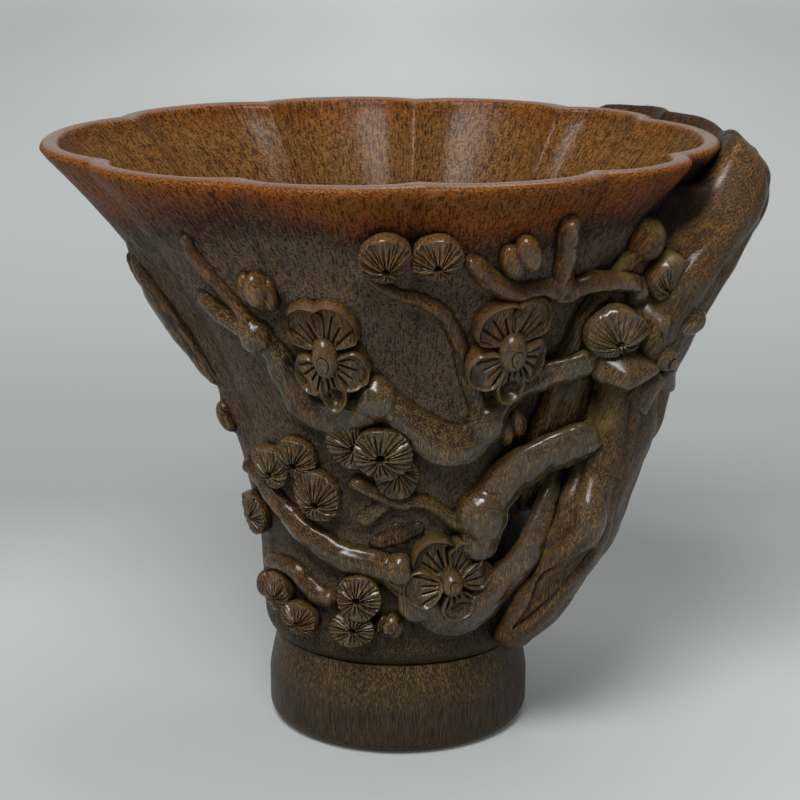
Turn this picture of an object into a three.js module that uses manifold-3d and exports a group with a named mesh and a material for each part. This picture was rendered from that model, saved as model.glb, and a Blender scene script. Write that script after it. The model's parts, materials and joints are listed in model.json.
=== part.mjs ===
// Libation cup of carved horn: a lobed, flaring bowl on an oval foot, wrapped in undercut
// branches with blossoms, pine needle clusters and buds, and with a gnarled trunk for a handle.
// The front of the cup faces -Y and its handle +X.

import * as THREE from 'three';
import { mergeVertices } from 'three/addons/utils/BufferGeometryUtils.js';
import Module from 'manifold-3d';

const wasm = await Module();
wasm.setup();

// Cup body
const cupHeight = 115;
const footHeight = 17.5;
const rimHalfLength = 64.3;
const rimHalfDepth = 49;
const waistHalfLength = 26;
const waistHalfDepth = 23.5;
const rimShift = 3.3;
const heelRadius = 5;
const heelTuck = 3.4;
const lobeDepth = 3;
const lipThickness = 3.8;
const waistWall = 6;
const floorThickness = 7;
const bowlFloorDish = 4;
const flarePower = 2.4;
const groovePower = 1.5;

// Foot
const footHalfLength = 25.5;
const footHalfDepth = 24;
const footTopInset = 1.8;
const footEdgeRadius = 3;
const footRecessDepth = 2.5;
const footRingWidth = 6.5;

// Carving in relief
const carvingGap = 0.3;
const carvingOverrun = 2;
const limbWidth = 8;
const limbRelief = 5.6;
const twigWidth = 4.6;
const twigRelief = 3.2;
const leafWidth = 5;
const leafRelief = 3.6;
const trunkWidth = 22;
const trunkThickness = 13;
const trunkStandoff = 7;
const scarDepth = 2.2;
const scarWidth = 7.5;
const blossomRadius = 9;
const blossomRelief = 6.4;
const clusterRadius = 4.4;
const clusterRelief = 4.4;
const budRadius = 3.6;
const budRelief = 4.4;
const perchHeight = 8;
const stalkLength = 5;

// Fineness of the facets
const bowlSectors = 54;
const footSectors = 36;
const trunkSectors = 12;
const limbSectors = 8;
const twigSectors = 6;
const blossomPetals = 5;
const petalSectors = 4;
const clusterSectors = 16;
const budSectors = 9;
const limbSpacing = 4.8;
const twigSpacing = 3.6;

// Grooves between the lobes of the bowl, in degrees round the cup from +X
const grooveTurns = [27, 50, 83, 115, 150, 211, 245, 277, 311, 337];

// How far the trunk's rear edge closes in on the wall, as a share of its standoff
const trunkLeanShare = 0.5;

// Places on the wall are [turn in degrees, level from the foot's top (0) to the rim (1),
// width share, relief share, standoff share]; a missing share is the one before it, and a
// missing standoff is none.
const trunkShares = [
  [315, 0.035, 0.26, 0.3, 0.1],
  [320, 0.07, 0.42, 0.44, 0.3],
  [326, 0.115, 0.6, 0.58, 0.44],
  [332, 0.175, 0.76, 0.72, 0.54],
  [338, 0.255, 0.92, 0.88, 0.74],
  [343, 0.35, 1, 0.92, 0.8],
  [346, 0.44, 0.98, 0.985, 0.8],
  [348, 0.53, 0.96, 1.035, 0.74],
  [349, 0.62, 0.98, 0.99, 0.6],
  [349, 0.71, 1.02, 1.04, 0.44],
  [350.5, 0.8, 0.96, 1.08, 0.3],
  [352.5, 0.88, 0.9, 1.08, 0.18],
  [355.5, 0.95, 0.86, 1.02, 0.06],
  [358.5, 1.005, 0.84, 0.9, 0],
];
const barkShares = [
  [328, 0.3, 0.4, 0.26, 0],
  [332, 0.38, 0.66, 0.42, 0],
  [336, 0.48, 0.82, 0.5, 0],
  [336.5, 0.57, 0.86, 0.48, 0],
  [336, 0.64, 0.86, 0.42, 0],
  [336.5, 0.71, 0.9, 0.38, 0],
  [339, 0.78, 0.96, 0.36, 0],
  [343, 0.86, 0.9, 0.4, 0],
  [348, 0.93, 0.7, 0.4, 0],
];
const scarShares = [
  [319, 0.075, 0.3],
  [325, 0.125, 0.8],
  [330, 0.172, 1],
  [334, 0.222, 0.9],
  [337.5, 0.275, 0.36],
];
const shoulderShares = [
  [7, 0.965, 0.42, 0.7, 0],
  [12, 0.975, 0.4, 0.58, 0],
  [22, 0.985, 0.34, 0.46, 0],
  [34, 0.99, 0.26, 0.34, 0],
  [46, 0.99, 0.16, 0.22, 0],
];
const thickBranchShares = [
  [[330, 0.5, 1, 1, 1.05], [324, 0.48, 1.14, 1.06, 0.8], [317, 0.45, 1.14, 1.04, 0.46],
    [310, 0.4, 1.06, 1, 0.14], [304, 0.345, 1.02, 0.98, 0], [301, 0.285, 0.96, 0.96, 0],
    [300, 0.235, 0.84, 0.86, 0]],
];
const thickTwigShares = [
  [[300, 0.32, 0.9, 0.8], [292.5, 0.31, 0.7, 0.8], [286, 0.338, 0.6, 0.74], [279, 0.362, 0.75, 0.8],
    [272, 0.362, 0.8, 0.8], [265, 0.378, 0.72, 0.76], [255, 0.405, 0.8, 0.8]],
  [[268, 0.366, 0.7, 0.76], [262, 0.335, 0.7, 0.7], [257, 0.32, 0.95, 0.84]],
];
const lowBranchShares = [
  [[327, 0.36, 0.9, 0.9, 0.75], [322, 0.29, 0.92, 0.95, 0.62], [316.5, 0.225, 0.9, 0.95, 0.4],
    [310, 0.172, 0.92, 0.95, 0.1], [302, 0.135, 0.98, 0.84, 0], [292, 0.118, 0.98, 0.72, 0],
    [284, 0.135, 0.9, 0.72, 0], [277, 0.17, 0.8, 0.66, 0], [271, 0.205, 0.7, 0.64, 0],
    [263, 0.228, 0.72, 0.66, 0], [255, 0.237, 0.76, 0.68, 0], [246, 0.25, 0.72, 0.66, 0],
    [234, 0.285, 0.66, 0.62, 0], [225, 0.325, 0.6, 0.58, 0], [216, 0.366, 0.54, 0.54, 0],
    [204, 0.39, 0.44, 0.46, 0]],
];
const lowTwigShares = [
  [[206, 0.18, 0.7, 0.7], [219, 0.193, 0.8, 0.8], [227, 0.19, 0.86, 0.86], [232, 0.168, 0.9, 0.86],
    [238, 0.15, 0.9, 0.86], [246, 0.15, 0.8, 0.8]],
];
const longBranchShares = [
  [[226, 0.772, 0.4, 0.44], [230, 0.733, 0.48, 0.48], [236, 0.708, 0.54, 0.5], [240, 0.668, 0.62, 0.5],
    [241.5, 0.6, 0.7, 0.5], [244, 0.553, 0.76, 0.54], [252, 0.536, 0.78, 0.6], [262, 0.56, 0.84, 0.72],
    [268, 0.575, 0.72, 0.68], [276, 0.525, 0.84, 0.74], [284, 0.488, 0.94, 0.82],
    [292, 0.482, 0.94, 0.8], [298, 0.51, 0.84, 0.6], [304, 0.56, 0.7, 0.5], [313, 0.6, 0.66, 0.6, 0.1],
    [321, 0.63, 0.66, 0.7, 0.35], [329, 0.66, 0.66, 0.74, 0.6]],
];
const longTwigShares = [
  [[232, 0.89, 0.46, 0.5], [231.5, 0.85, 0.56, 0.6], [233, 0.81, 0.6, 0.6], [235, 0.76, 0.66, 0.66],
    [237, 0.71, 0.7, 0.66]],
  [[266.5, 0.832, 0.4, 0.46], [272, 0.797, 0.56, 0.6], [280, 0.77, 0.66, 0.66], [284.5, 0.727, 0.66, 0.6],
    [287.5, 0.676, 0.66, 0.6], [290, 0.62, 0.7, 0.6], [295, 0.56, 0.7, 0.6], [298, 0.52, 0.7, 0.6]],
];
const upperTwigShares = [
  [[285.5, 0.868, 0.66, 0.86], [291, 0.82, 0.8, 0.86], [297, 0.79, 0.8, 0.8], [305, 0.79, 0.7, 0.8],
    [312, 0.768, 0.8, 0.9], [317, 0.79, 0.86, 1, 0.05], [324, 0.795, 0.86, 1, 0.25],
    [331, 0.79, 0.8, 1, 0.45]],
  [[303.5, 0.93, 0.84, 0.9], [306, 0.88, 0.9, 1], [309, 0.82, 0.9, 1], [312, 0.77, 0.86, 0.96]],
];
const rearBranchShares = [
  [[22, 0.62, 0.8, 0.8, 0.25], [32, 0.56, 0.84, 0.84, 0.1], [44, 0.5, 0.88, 0.84, 0],
    [56, 0.475, 0.84, 0.8, 0], [68, 0.5, 0.8, 0.76, 0], [80, 0.545, 0.76, 0.72, 0],
    [92, 0.535, 0.7, 0.68, 0], [104, 0.49, 0.66, 0.62, 0], [118, 0.46, 0.6, 0.58, 0],
    [132, 0.475, 0.52, 0.5, 0], [146, 0.52, 0.4, 0.42, 0]],
];
const rearTwigShares = [
  [[66, 0.5, 0.9, 0.8], [70, 0.58, 0.8, 0.8], [68, 0.66, 0.7, 0.74], [72, 0.74, 0.56, 0.6]],
  [[104, 0.5, 0.9, 0.8], [112, 0.57, 0.76, 0.76], [122, 0.62, 0.6, 0.66], [130, 0.69, 0.46, 0.5]],
];
const rearLowBranchShares = [
  [[14, 0.3, 0.9, 0.86, 0.4], [26, 0.24, 0.9, 0.86, 0.1], [40, 0.2, 0.86, 0.8, 0],
    [56, 0.19, 0.8, 0.76, 0], [72, 0.215, 0.74, 0.7, 0], [90, 0.25, 0.7, 0.66, 0],
    [108, 0.26, 0.64, 0.6, 0], [126, 0.235, 0.56, 0.54, 0], [144, 0.24, 0.5, 0.5, 0],
    [160, 0.28, 0.42, 0.44, 0]],
];
const leafShares = {
  left_leaf: [[197, 0.83, 0.4, 0.5], [197, 0.76, 0.86, 0.9], [198, 0.68, 1, 1], [200, 0.61, 0.86, 0.9],
    [203, 0.545, 0.4, 0.5]],
  left_leaf_tip: [[187, 0.82, 0.36, 0.5], [186.5, 0.76, 0.74, 0.8], [187.5, 0.69, 0.8, 0.8],
    [190, 0.62, 0.4, 0.5]],
  fallen_leaf: [[259, 0.27, 0.36, 0.3], [266, 0.285, 0.8, 0.36], [274, 0.3, 0.9, 0.36],
    [281, 0.315, 0.5, 0.3]],
};

// Bosses are [turn, level, width share, height share, spin in degrees, relief share,
// perch share]: a perched boss stands off the wall on a narrow stalk.
const blossomShares = {
  blossom_left: [255.5, 0.682, 0.88, 1.28, 63, 0.96, 0],
  blossom_right: [299, 0.684, 0.98, 1.26, 62, 1, 0],
  blossom_low: [289, 0.2, 0.94, 1.1, 60, 1, 0],
  blossom_side: [339, 0.68, 1.06, 1.2, 14, 0.8, 1.5],
  blossom_rear: [86, 0.64, 1, 1.15, 58, 1, 0],
  blossom_rear_low: [118, 0.3, 0.9, 1, 46, 1, 0],
};
const clusterShares = {
  cluster_top_left: [270.6, 0.885, 1, 1.1, 0, 1, 0],
  cluster_top_right: [279.6, 0.88, 0.96, 1.06, 10, 0.94, 0],
  cluster_middle: [267, 0.48, 1.1, 1.28, 5, 1.16, 0],
  cluster_middle_left: [257.4, 0.49, 0.98, 1.1, 0, 0.9, 0],
  cluster_middle_low: [270.6, 0.425, 0.9, 1.06, 0, 0.82, 0],
  cluster_low: [256, 0.168, 0.9, 1.04, 0, 1.04, 0],
  cluster_lowest: [252.6, 0.098, 0.92, 0.8, 0, 0.9, 0],
  cluster_lean: [324, 0.72, 1, 1.2, 0, 0.8, 0.75],
  cluster_fan: [336, 0.822, 1, 1.1, 0, 0.8, 0.95],
  cluster_left_a: [226.5, 0.42, 0.86, 1, 0, 0.9, 0],
  cluster_left_b: [238, 0.448, 0.8, 0.96, 0, 0.84, 0],
  cluster_left_c: [243.5, 0.375, 0.96, 1.14, 0, 0.96, 0],
  cluster_edge: [206, 0.29, 0.9, 1, 0, 0.8, 0],
  cluster_heel_a: [217, 0.14, 0.8, 0.9, 0, 0.84, 0],
  cluster_heel_b: [229.5, 0.1, 0.84, 0.76, 0, 0.9, 0],
  cluster_rear_a: [54, 0.6, 1, 1.1, 0, 1, 0],
  cluster_rear_b: [61, 0.575, 0.9, 1, 0, 0.84, 0],
  cluster_rear_c: [130, 0.55, 0.9, 1, 0, 0.9, 0],
  cluster_rear_low_a: [66, 0.13, 0.96, 0.9, 0, 0.9, 0],
  cluster_rear_low_b: [90, 0.33, 0.96, 1, 0, 0.9, 0],
};
const budShares = {
  bud_left: [242.5, 0.795, 1, 1.3, 0, 1, 0],
  bud_right: [295.5, 0.865, 1.02, 1.3, 0, 1, 0],
  bud_middle: [309, 0.5, 0.86, 1.2, 0, 0.9, 0],
  bud_low: [266.8, 0.105, 0.8, 0.8, 0, 0.8, 0],
  bud_side: [343.5, 0.75, 1.2, 1.4, 0, 0.8, 1.75],
  bud_edge_high: [199, 0.475, 0.74, 1, 0, 0.7, 0],
  bud_edge_low: [203, 0.125, 0.74, 1, 0, 0.7, 0],
  bud_rear: [70, 0.8, 0.9, 1.2, 0, 0.9, 0],
};

// The groove of a lobed wall is deepest (1) at each groove and gone midway between two.
function pinch(turn) {
  const round = THREE.MathUtils.euclideanModulo(turn, 360);
  const after = grooveTurns.find((groove) => groove > round) ?? grooveTurns[0] + 360;
  const before = [...grooveTurns].reverse().find((groove) => groove <= round) ?? grooveTurns.at(-1) - 360;
  const share = (round - before) / (after - before);
  return (1 - Math.sin(Math.PI * share)) ** groovePower;
}

// A point of the outer wall; a smooth wall leaves the grooves out.
function wallPoint(turn, level, smooth = false) {
  const height = footHeight + level * (cupHeight - footHeight);
  const climb = Math.max(level, 0);
  const spread = climb ** flarePower;
  const tuckShare = THREE.MathUtils.clamp(1 - (height - footHeight) / heelRadius, 0, 1);
  const tuck = heelTuck * (1 - Math.sqrt(1 - tuckShare ** 2));
  const groove = smooth ? 0 : lobeDepth * climb ** groovePower * pinch(turn);
  const halfLength = THREE.MathUtils.lerp(waistHalfLength, rimHalfLength, spread) - tuck - groove;
  const halfDepth = THREE.MathUtils.lerp(waistHalfDepth, rimHalfDepth, spread) - tuck
    - (groove * rimHalfDepth) / rimHalfLength;
  const angle = THREE.MathUtils.degToRad(turn);
  const x = halfLength * Math.cos(angle) - rimShift * climb ** 2;
  return new THREE.Vector3(x, halfDepth * Math.sin(angle), height);
}

// The outward direction of the smooth wall.
function wallNormal(turn, level) {
  const turnStepShare = 0.5;
  const levelStepShare = 0.004;
  const here = wallPoint(turn, level, true);
  const around = wallPoint(turn + turnStepShare, level, true).sub(here);
  const upward = wallPoint(turn, level + levelStepShare, true).sub(here);
  return around.cross(upward).normalize();
}

// A point a distance proud of the wall.
function proudPoint(turn, level, proud, smooth = false) {
  return wallPoint(turn, level, smooth).addScaledVector(wallNormal(turn, level), proud);
}

// How far the surface at a standoff travels for each degree of turn and for each whole level.
function strides(turn, level, standoff) {
  const levelStepShare = 0.01;
  const here = proudPoint(turn, level, standoff, true);
  const perTurn = proudPoint(turn + 1, level, standoff, true).distanceTo(here);
  const perLevel = proudPoint(turn, level + levelStepShare, standoff, true).distanceTo(here) / levelStepShare;
  return { perTurn, perLevel };
}

// A point reached from a place by going aside and upward over the wall.
function carvedPoint(place, aside, upward, proud) {
  const { perTurn, perLevel } = strides(place.turn, place.level, place.standoff);
  return proudPoint(place.turn + aside / perTurn, place.level + upward / perLevel, proud);
}

function centreOf(ring) {
  const sum = ring.reduce((total, point) => total.add(point), new THREE.Vector3());
  return sum.divideScalar(ring.length);
}

// A closed skin over rings of equal count, fanned shut at both ends.
function skin(rings) {
  const count = rings[0].length;
  const points = [...rings.flat(), centreOf(rings[0]), centreOf(rings.at(-1))];
  const startCentre = rings.length * count;
  const faces = [];
  for (let side = 0; side < count; side += 1) {
    const next = (side + 1) % count;
    const last = (rings.length - 1) * count;
    faces.push(startCentre, next, side, startCentre + 1, last + side, last + next);
    for (let ring = 0; ring < rings.length - 1; ring += 1) {
      const low = ring * count;
      const high = low + count;
      faces.push(low + side, low + next, high + next, low + side, high + next, high + side);
    }
  }
  const geometry = new THREE.BufferGeometry();
  geometry.setAttribute('position', new THREE.Float32BufferAttribute(points.flatMap((p) => p.toArray()), 3));
  geometry.setIndex(faces);
  return geometry;
}

function toSolid(geometry) {
  const bare = geometry.clone();
  bare.deleteAttribute('normal');
  bare.deleteAttribute('uv');
  const merged = mergeVertices(bare);
  const mesh = new wasm.Mesh({
    numProp: 3,
    vertProperties: new Float32Array(merged.attributes.position.array),
    triVerts: new Uint32Array(merged.index.array),
  });
  return new wasm.Manifold(mesh);
}

function toGeometry(solid) {
  const mesh = solid.getMesh();
  const geometry = new THREE.BufferGeometry();
  geometry.setAttribute('position', new THREE.BufferAttribute(new Float32Array(mesh.vertProperties), 3));
  geometry.setIndex([...mesh.triVerts]);
  return geometry;
}

function turnsOf(sectors) {
  return Array.from({ length: sectors }, (_, sector) => (360 * sector) / sectors);
}

// The bowl's turns hold every groove, so that facets meet on the groove lines.
function bowlTurns() {
  const turns = [];
  grooveTurns.forEach((groove, index) => {
    const after = grooveTurns[index + 1] ?? grooveTurns[0] + 360;
    const steps = Math.round((bowlSectors * (after - groove)) / 360);
    for (let step = 0; step < steps; step += 1) turns.push(groove + ((after - groove) * step) / steps);
  });
  return turns;
}

// A point of the inner wall: the outer outline drawn in by the wall's thickness.
function hollowPoint(turn, level, shrinkShare) {
  const thickness = THREE.MathUtils.lerp(waistWall, lipThickness, level);
  const outer = wallPoint(turn, level);
  const axis = new THREE.Vector3(-rimShift * level ** 2, 0, outer.z);
  const spoke = outer.sub(axis);
  const length = (spoke.length() - thickness) * shrinkShare;
  return axis.add(spoke.setLength(length));
}

// The bowl's skin runs up the outer wall, over the rounded lip and down to the dished floor.
function bowlGeometry() {
  const outerLevelShares = [0, 0.01, 0.05, 0.13, 0.24, 0.35, 0.46, 0.57, 0.67, 0.76, 0.85, 0.93];
  const innerLevelShares = [0.94, 0.84, 0.72, 0.59, 0.46, 0.32, 0.18];
  const lipShares = [0.12, 0.5, 0.88];
  const floorShares = [[0.9, 0.55], [0.55, 0.12]];
  const turns = bowlTurns();
  const bodyHeight = cupHeight - footHeight;
  const rings = outerLevelShares.map((level) => turns.map((turn) => wallPoint(turn, level)));
  for (const share of lipShares) {
    const crown = Math.sin(Math.PI * share);
    rings.push(turns.map((turn) => {
      const outer = wallPoint(turn, 1);
      const inner = hollowPoint(turn, 1, 1);
      const point = outer.lerp(inner, share);
      point.z = cupHeight - (lipThickness / 2) * (1 - crown);
      return point;
    }));
  }
  for (const level of innerLevelShares) rings.push(turns.map((turn) => hollowPoint(turn, level, 1)));
  const floorLevel = floorThickness / bodyHeight;
  for (const [reachShare, riseShare] of floorShares) {
    const level = floorLevel + (riseShare * bowlFloorDish) / bodyHeight;
    rings.push(turns.map((turn) => hollowPoint(turn, level, reachShare)));
  }
  return skin(rings);
}

// The bowl swelled by the carving gap, without its hollow: the room that free limbs keep to.
function bowlRoom() {
  const levelShares = [0, 0.05, 0.13, 0.24, 0.35, 0.46, 0.57, 0.67, 0.76, 0.85, 0.93, 1, 1];
  const turns = bowlTurns();
  const rings = levelShares.map((level) => turns.map((turn) => proudPoint(turn, level, carvingGap)));
  for (const point of rings[0]) point.z = footHeight - carvingGap;
  for (const point of rings.at(-2)) point.z = cupHeight - lipThickness / 2;
  for (const point of rings.at(-1)) point.z = cupHeight + carvingGap;
  return skin(rings);
}

function footRing(inset, height) {
  return turnsOf(footSectors).map((turn) => {
    const angle = THREE.MathUtils.degToRad(turn);
    const x = (footHalfLength - inset) * Math.cos(angle);
    const y = (footHalfDepth - inset) * Math.sin(angle);
    return new THREE.Vector3(x, y, height);
  });
}

// The foot swells a little at its middle, has a rounded edge and is hollowed underneath.
function footGeometry(room = 0) {
  const edgeShares = [0, 0.33, 0.67, 1];
  const sideShares = [[0.4, 0], [0.66, 0.3], [1, 1]];
  const rings = [footRing(footRingWidth + footEdgeRadius, footRecessDepth), footRing(footRingWidth, 0)];
  for (const share of edgeShares) {
    const angle = (Math.PI / 2) * share;
    const inset = footEdgeRadius * (1 - Math.sin(angle));
    rings.push(footRing(inset - room, footEdgeRadius * (1 - Math.cos(angle)) - room));
  }
  for (const [heightShare, insetShare] of sideShares) {
    rings.push(footRing(footTopInset * insetShare - room, footHeight * heightShare));
  }
  return skin(rings);
}

// Places along a route, smoothed, with shares turned into sizes.
function courseOf(route, sizes) {
  const along = route.map(([turn, level, width]) => new THREE.Vector3(turn, level, width));
  const across = route.map((place) => new THREE.Vector3(place[3] ?? place[2], place[4] ?? 0, 0));
  const path = new THREE.CatmullRomCurve3(along, false, 'catmullrom');
  const heights = new THREE.CatmullRomCurve3(across, false, 'catmullrom');
  const corners = route.map(([turn, level]) => proudPoint(turn, level, 0, true));
  const length = corners.slice(1).reduce((sum, corner, index) => sum + corner.distanceTo(corners[index]), 0);
  const steps = Math.max(Math.round(length / sizes.spacing), 2);
  return Array.from({ length: steps + 1 }, (_, step) => {
    const place = path.getPoint(step / steps);
    const height = heights.getPoint(step / steps);
    return {
      turn: place.x,
      level: place.y,
      width: place.z * sizes.width,
      relief: height.x * sizes.relief,
      standoff: Math.max(height.y, 0) * trunkStandoff,
    };
  });
}

// A rounded limb carried along a route over the wall. Where it lies on the wall its underside
// follows the wall; where it stands off it is round. Its room is the same limb, swelled by the
// carving gap and, on the wall, cut straight down its sides and into the wall.
function limbGeometry(route, sizes, room = 0) {
  const course = courseOf(route, sizes);
  const tipShare = 0.5;
  const flatShare = 0.2;
  const roundShare = 1;
  const rings = course.map((place, index) => {
    const before = course[index - 1] ?? place;
    const after = course[index + 1] ?? place;
    const { perTurn, perLevel } = strides(place.turn, place.level, place.standoff);
    const heading = Math.atan2((after.level - before.level) * perLevel, (after.turn - before.turn) * perTurn);
    const pastEnd = Number(after === place) - Number(before === place);
    const size = pastEnd ? tipShare : 1;
    const forward = pastEnd * room;
    const halfWidth = (place.width / 2) * size + room;
    const halfRelief = place.relief / 2;
    const cutsDown = room > 0 && place.standoff < carvingGap;
    const freeShare = Math.min((2 * place.standoff) / place.relief, 1);
    const roundness = THREE.MathUtils.lerp(flatShare, roundShare, freeShare);
    return turnsOf(sizes.sectors).map((turn) => {
      const angle = THREE.MathUtils.degToRad(turn);
      const across = Math.cos(angle);
      const lift = Math.sin(angle);
      const square = Math.sign(across) * Math.min(2 * Math.abs(across), 1);
      const offset = halfWidth * (cutsDown && lift < 0 ? square : across);
      const rearShare = Math.max(-Math.sin(heading) * across, 0);
      const standoff = place.standoff * (1 - sizes.lean * rearShare);
      const rise = lift < 0 ? -(Math.abs(lift) ** roundness) : lift * size;
      const swell = cutsDown && lift < 0 ? -carvingOverrun : room * lift;
      const proud = standoff + carvingGap + halfRelief * (1 + rise) + swell;
      const aside = forward * Math.cos(heading) - offset * Math.sin(heading);
      const upward = forward * Math.sin(heading) + offset * Math.cos(heading);
      return carvedPoint(place, aside, upward, proud);
    });
  });
  return skin(rings);
}

// The stalk under a perched boss, as a share of the boss
const perchedStalkShare = 0.6;

// What a boss needs for its room: its whole outline at its full height
const roomShares = [[0.5, () => 1], [1, () => 1]];

// A boss over the wall: rings of one outline, each at its own reach and height.
function bossGeometry(place, outline, profileShares, sectors, room = 0) {
  const spin = THREE.MathUtils.degToRad(place.spin);
  const ringAt = (reachShare, heightAt) => turnsOf(sectors).map((turn) => {
    const angle = THREE.MathUtils.degToRad(turn);
    const reach = outline(turn) * reachShare;
    const aside = (place.halfWidth * reach + room) * Math.cos(angle + spin);
    const upward = (place.halfHeight * reach + room) * Math.sin(angle + spin);
    return carvedPoint(place, aside, upward, heightAt(turn));
  });
  const onWall = place.standoff < stalkLength;
  const stalkFoot = onWall ? carvingGap : place.standoff - stalkLength;
  const base = room > 0 ? stalkFoot - carvingOverrun : stalkFoot;
  const stalkShare = place.standoff > 0 ? perchedStalkShare : 1;
  const top = profileShares.map(([reachShare, heightShareAt]) => ringAt(reachShare, (turn) => {
    const share = room > 0 ? 1 : heightShareAt(turn);
    return place.standoff + carvingGap + place.relief * share + room;
  }));
  const undercut = place.standoff > 0 ? [ringAt(1, () => place.standoff + carvingGap - room)] : [];
  const foot = [ringAt(stalkShare, () => base), ringAt(stalkShare / 2, () => base)];
  return skin([...top, ...undercut, ...foot].reverse());
}

function placeOf([turn, level, width, height, spin, relief, perch], sizes) {
  return {
    turn,
    level,
    spin,
    halfWidth: width * sizes.radius,
    halfHeight: height * sizes.radius,
    relief: relief * sizes.relief,
    standoff: perch * perchHeight,
  };
}

// The far edge of five round petals, as a share of the blossom's radius.
const petalCentreShare = 0.58;
const petalRadiusShare = 0.42;

function petalOutline(turn) {
  const step = 360 / blossomPetals;
  const aside = THREE.MathUtils.degToRad(THREE.MathUtils.euclideanModulo(turn + step / 2, step) - step / 2);
  const across = petalCentreShare * Math.sin(aside);
  return petalCentreShare * Math.cos(aside) + Math.sqrt(petalRadiusShare ** 2 - across ** 2);
}

// Cupped petals with raised rims round a boss.
function blossomGeometry(place, room = 0) {
  const deepestNotch = 1 - petalOutline(180 / blossomPetals);
  const notch = (turn) => (1 - petalOutline(turn)) / deepestNotch;
  const shares = [
    [0.2, () => 1],
    [0.3, () => 0.8],
    [0.88, (turn) => 0.94 - 0.1 * notch(turn)],
    [1, (turn) => 0.8 - 0.06 * notch(turn)],
  ];
  const sectors = blossomPetals * petalSectors;
  return bossGeometry(place, petalOutline, room > 0 ? roomShares : shares, sectors, room);
}

// A wheel of pine needles: a fluted disc with a small hollow at its hub.
function clusterGeometry(place, room = 0) {
  const step = 360 / clusterSectors;
  const flute = (turn) => Math.round(turn / step) % 2;
  const shares = [
    [0.1, () => 0.62],
    [0.3, () => 1],
    [1, (turn) => 0.84 - 0.16 * flute(turn)],
  ];
  return bossGeometry(place, () => 1, room > 0 ? roomShares : shares, clusterSectors, room);
}

// A round bud.
function budGeometry(place, room = 0) {
  const shares = [
    [0.4, () => 1],
    [0.76, () => 0.84],
    [1, () => 0.5],
  ];
  return bossGeometry(place, () => 1, room > 0 ? roomShares : shares, budSectors, room);
}

const trunkSizes = {
  width: trunkWidth,
  relief: trunkThickness,
  sectors: trunkSectors,
  spacing: limbSpacing,
  lean: trunkLeanShare,
};
const limbSizes = {
  width: limbWidth,
  relief: limbRelief,
  sectors: limbSectors,
  spacing: limbSpacing,
  lean: 0,
};
const twigSizes = {
  width: twigWidth,
  relief: twigRelief,
  sectors: twigSectors,
  spacing: twigSpacing,
  lean: 0,
};
const leafSizes = { ...twigSizes, width: leafWidth, relief: leafRelief };

// One solid of several limbs grown together.
function joined(families, room = 0) {
  const grow = (route, sizes) => toSolid(limbGeometry(route, sizes, room));
  const solids = families.flatMap(([routes, sizes]) => routes.map((route) => grow(route, sizes)));
  return solids.reduce((whole, solid) => whole.add(solid));
}

// Satin browns of horn, from the amber rim to the dark foot
function hornMaterial(colour, roughness) {
  return new THREE.MeshStandardMaterial({ color: colour, roughness, metalness: 0 });
}

const bowlMaterial = () => hornMaterial(0x5c3a22, 0.35);
const footMaterial = () => hornMaterial(0x40352a, 0.5);
const woodyMaterial = () => hornMaterial(0x5a4630, 0.45);
const glossyMaterial = () => hornMaterial(0x4a3a30, 0.25);
const petalMaterial = () => hornMaterial(0x66502f, 0.45);
const needleMaterial = () => hornMaterial(0x6e5230, 0.5);
const leafMaterial = () => hornMaterial(0x584a32, 0.5);

const cup = new THREE.Group();
const rooms = [];

function addPiece(name, geometry, material) {
  geometry.computeVertexNormals();
  const mesh = new THREE.Mesh(geometry, material);
  mesh.name = name;
  cup.add(mesh);
}

function boxesMeet(a, b) {
  return [0, 1, 2].every((axis) => a.min[axis] < b.max[axis] && b.min[axis] < a.max[axis]);
}

// Each carved piece makes way for the room of every piece laid before it.
function carve(name, solidWith, material) {
  const whole = solidWith(0);
  const solid = rooms
    .filter((room) => boxesMeet(room.boundingBox(), whole.boundingBox()))
    .reduce((rest, room) => rest.subtract(room), whole);
  addPiece(name, toGeometry(solid), material);
  rooms.push(solidWith(carvingGap));
}

addPiece('bowl', bowlGeometry(), bowlMaterial());
addPiece('foot', footGeometry(), footMaterial());

const bodyRooms = [toSolid(bowlRoom()), toSolid(footGeometry(carvingGap))];
function clearOfBody(solid) {
  return bodyRooms.reduce((rest, room) => rest.subtract(room), solid);
}

// The long scar of a lost bough, sunk into the outer face of the trunk's foot.
function scarSolid() {
  const surface = courseOf(trunkShares, trunkSizes);
  const route = scarShares.map(([turn, level, width]) => {
    const nearest = surface.reduce((best, place) => (
      Math.abs(place.level - level) < Math.abs(best.level - level) ? place : best));
    const floor = nearest.standoff + nearest.relief - scarDepth;
    return [turn, level, width, 1, floor / trunkStandoff];
  });
  const sizes = { ...limbSizes, width: scarWidth, relief: scarDepth + carvingOverrun };
  return toSolid(limbGeometry(route, sizes));
}

carve('trunk', (room) => {
  const whole = clearOfBody(joined([[[trunkShares, barkShares], trunkSizes]], room));
  return room > 0 ? whole : whole.subtract(scarSolid());
}, glossyMaterial());
carve('rim_shoulder', (room) => {
  return clearOfBody(joined([[[shoulderShares], trunkSizes]], room));
}, glossyMaterial());

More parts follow.
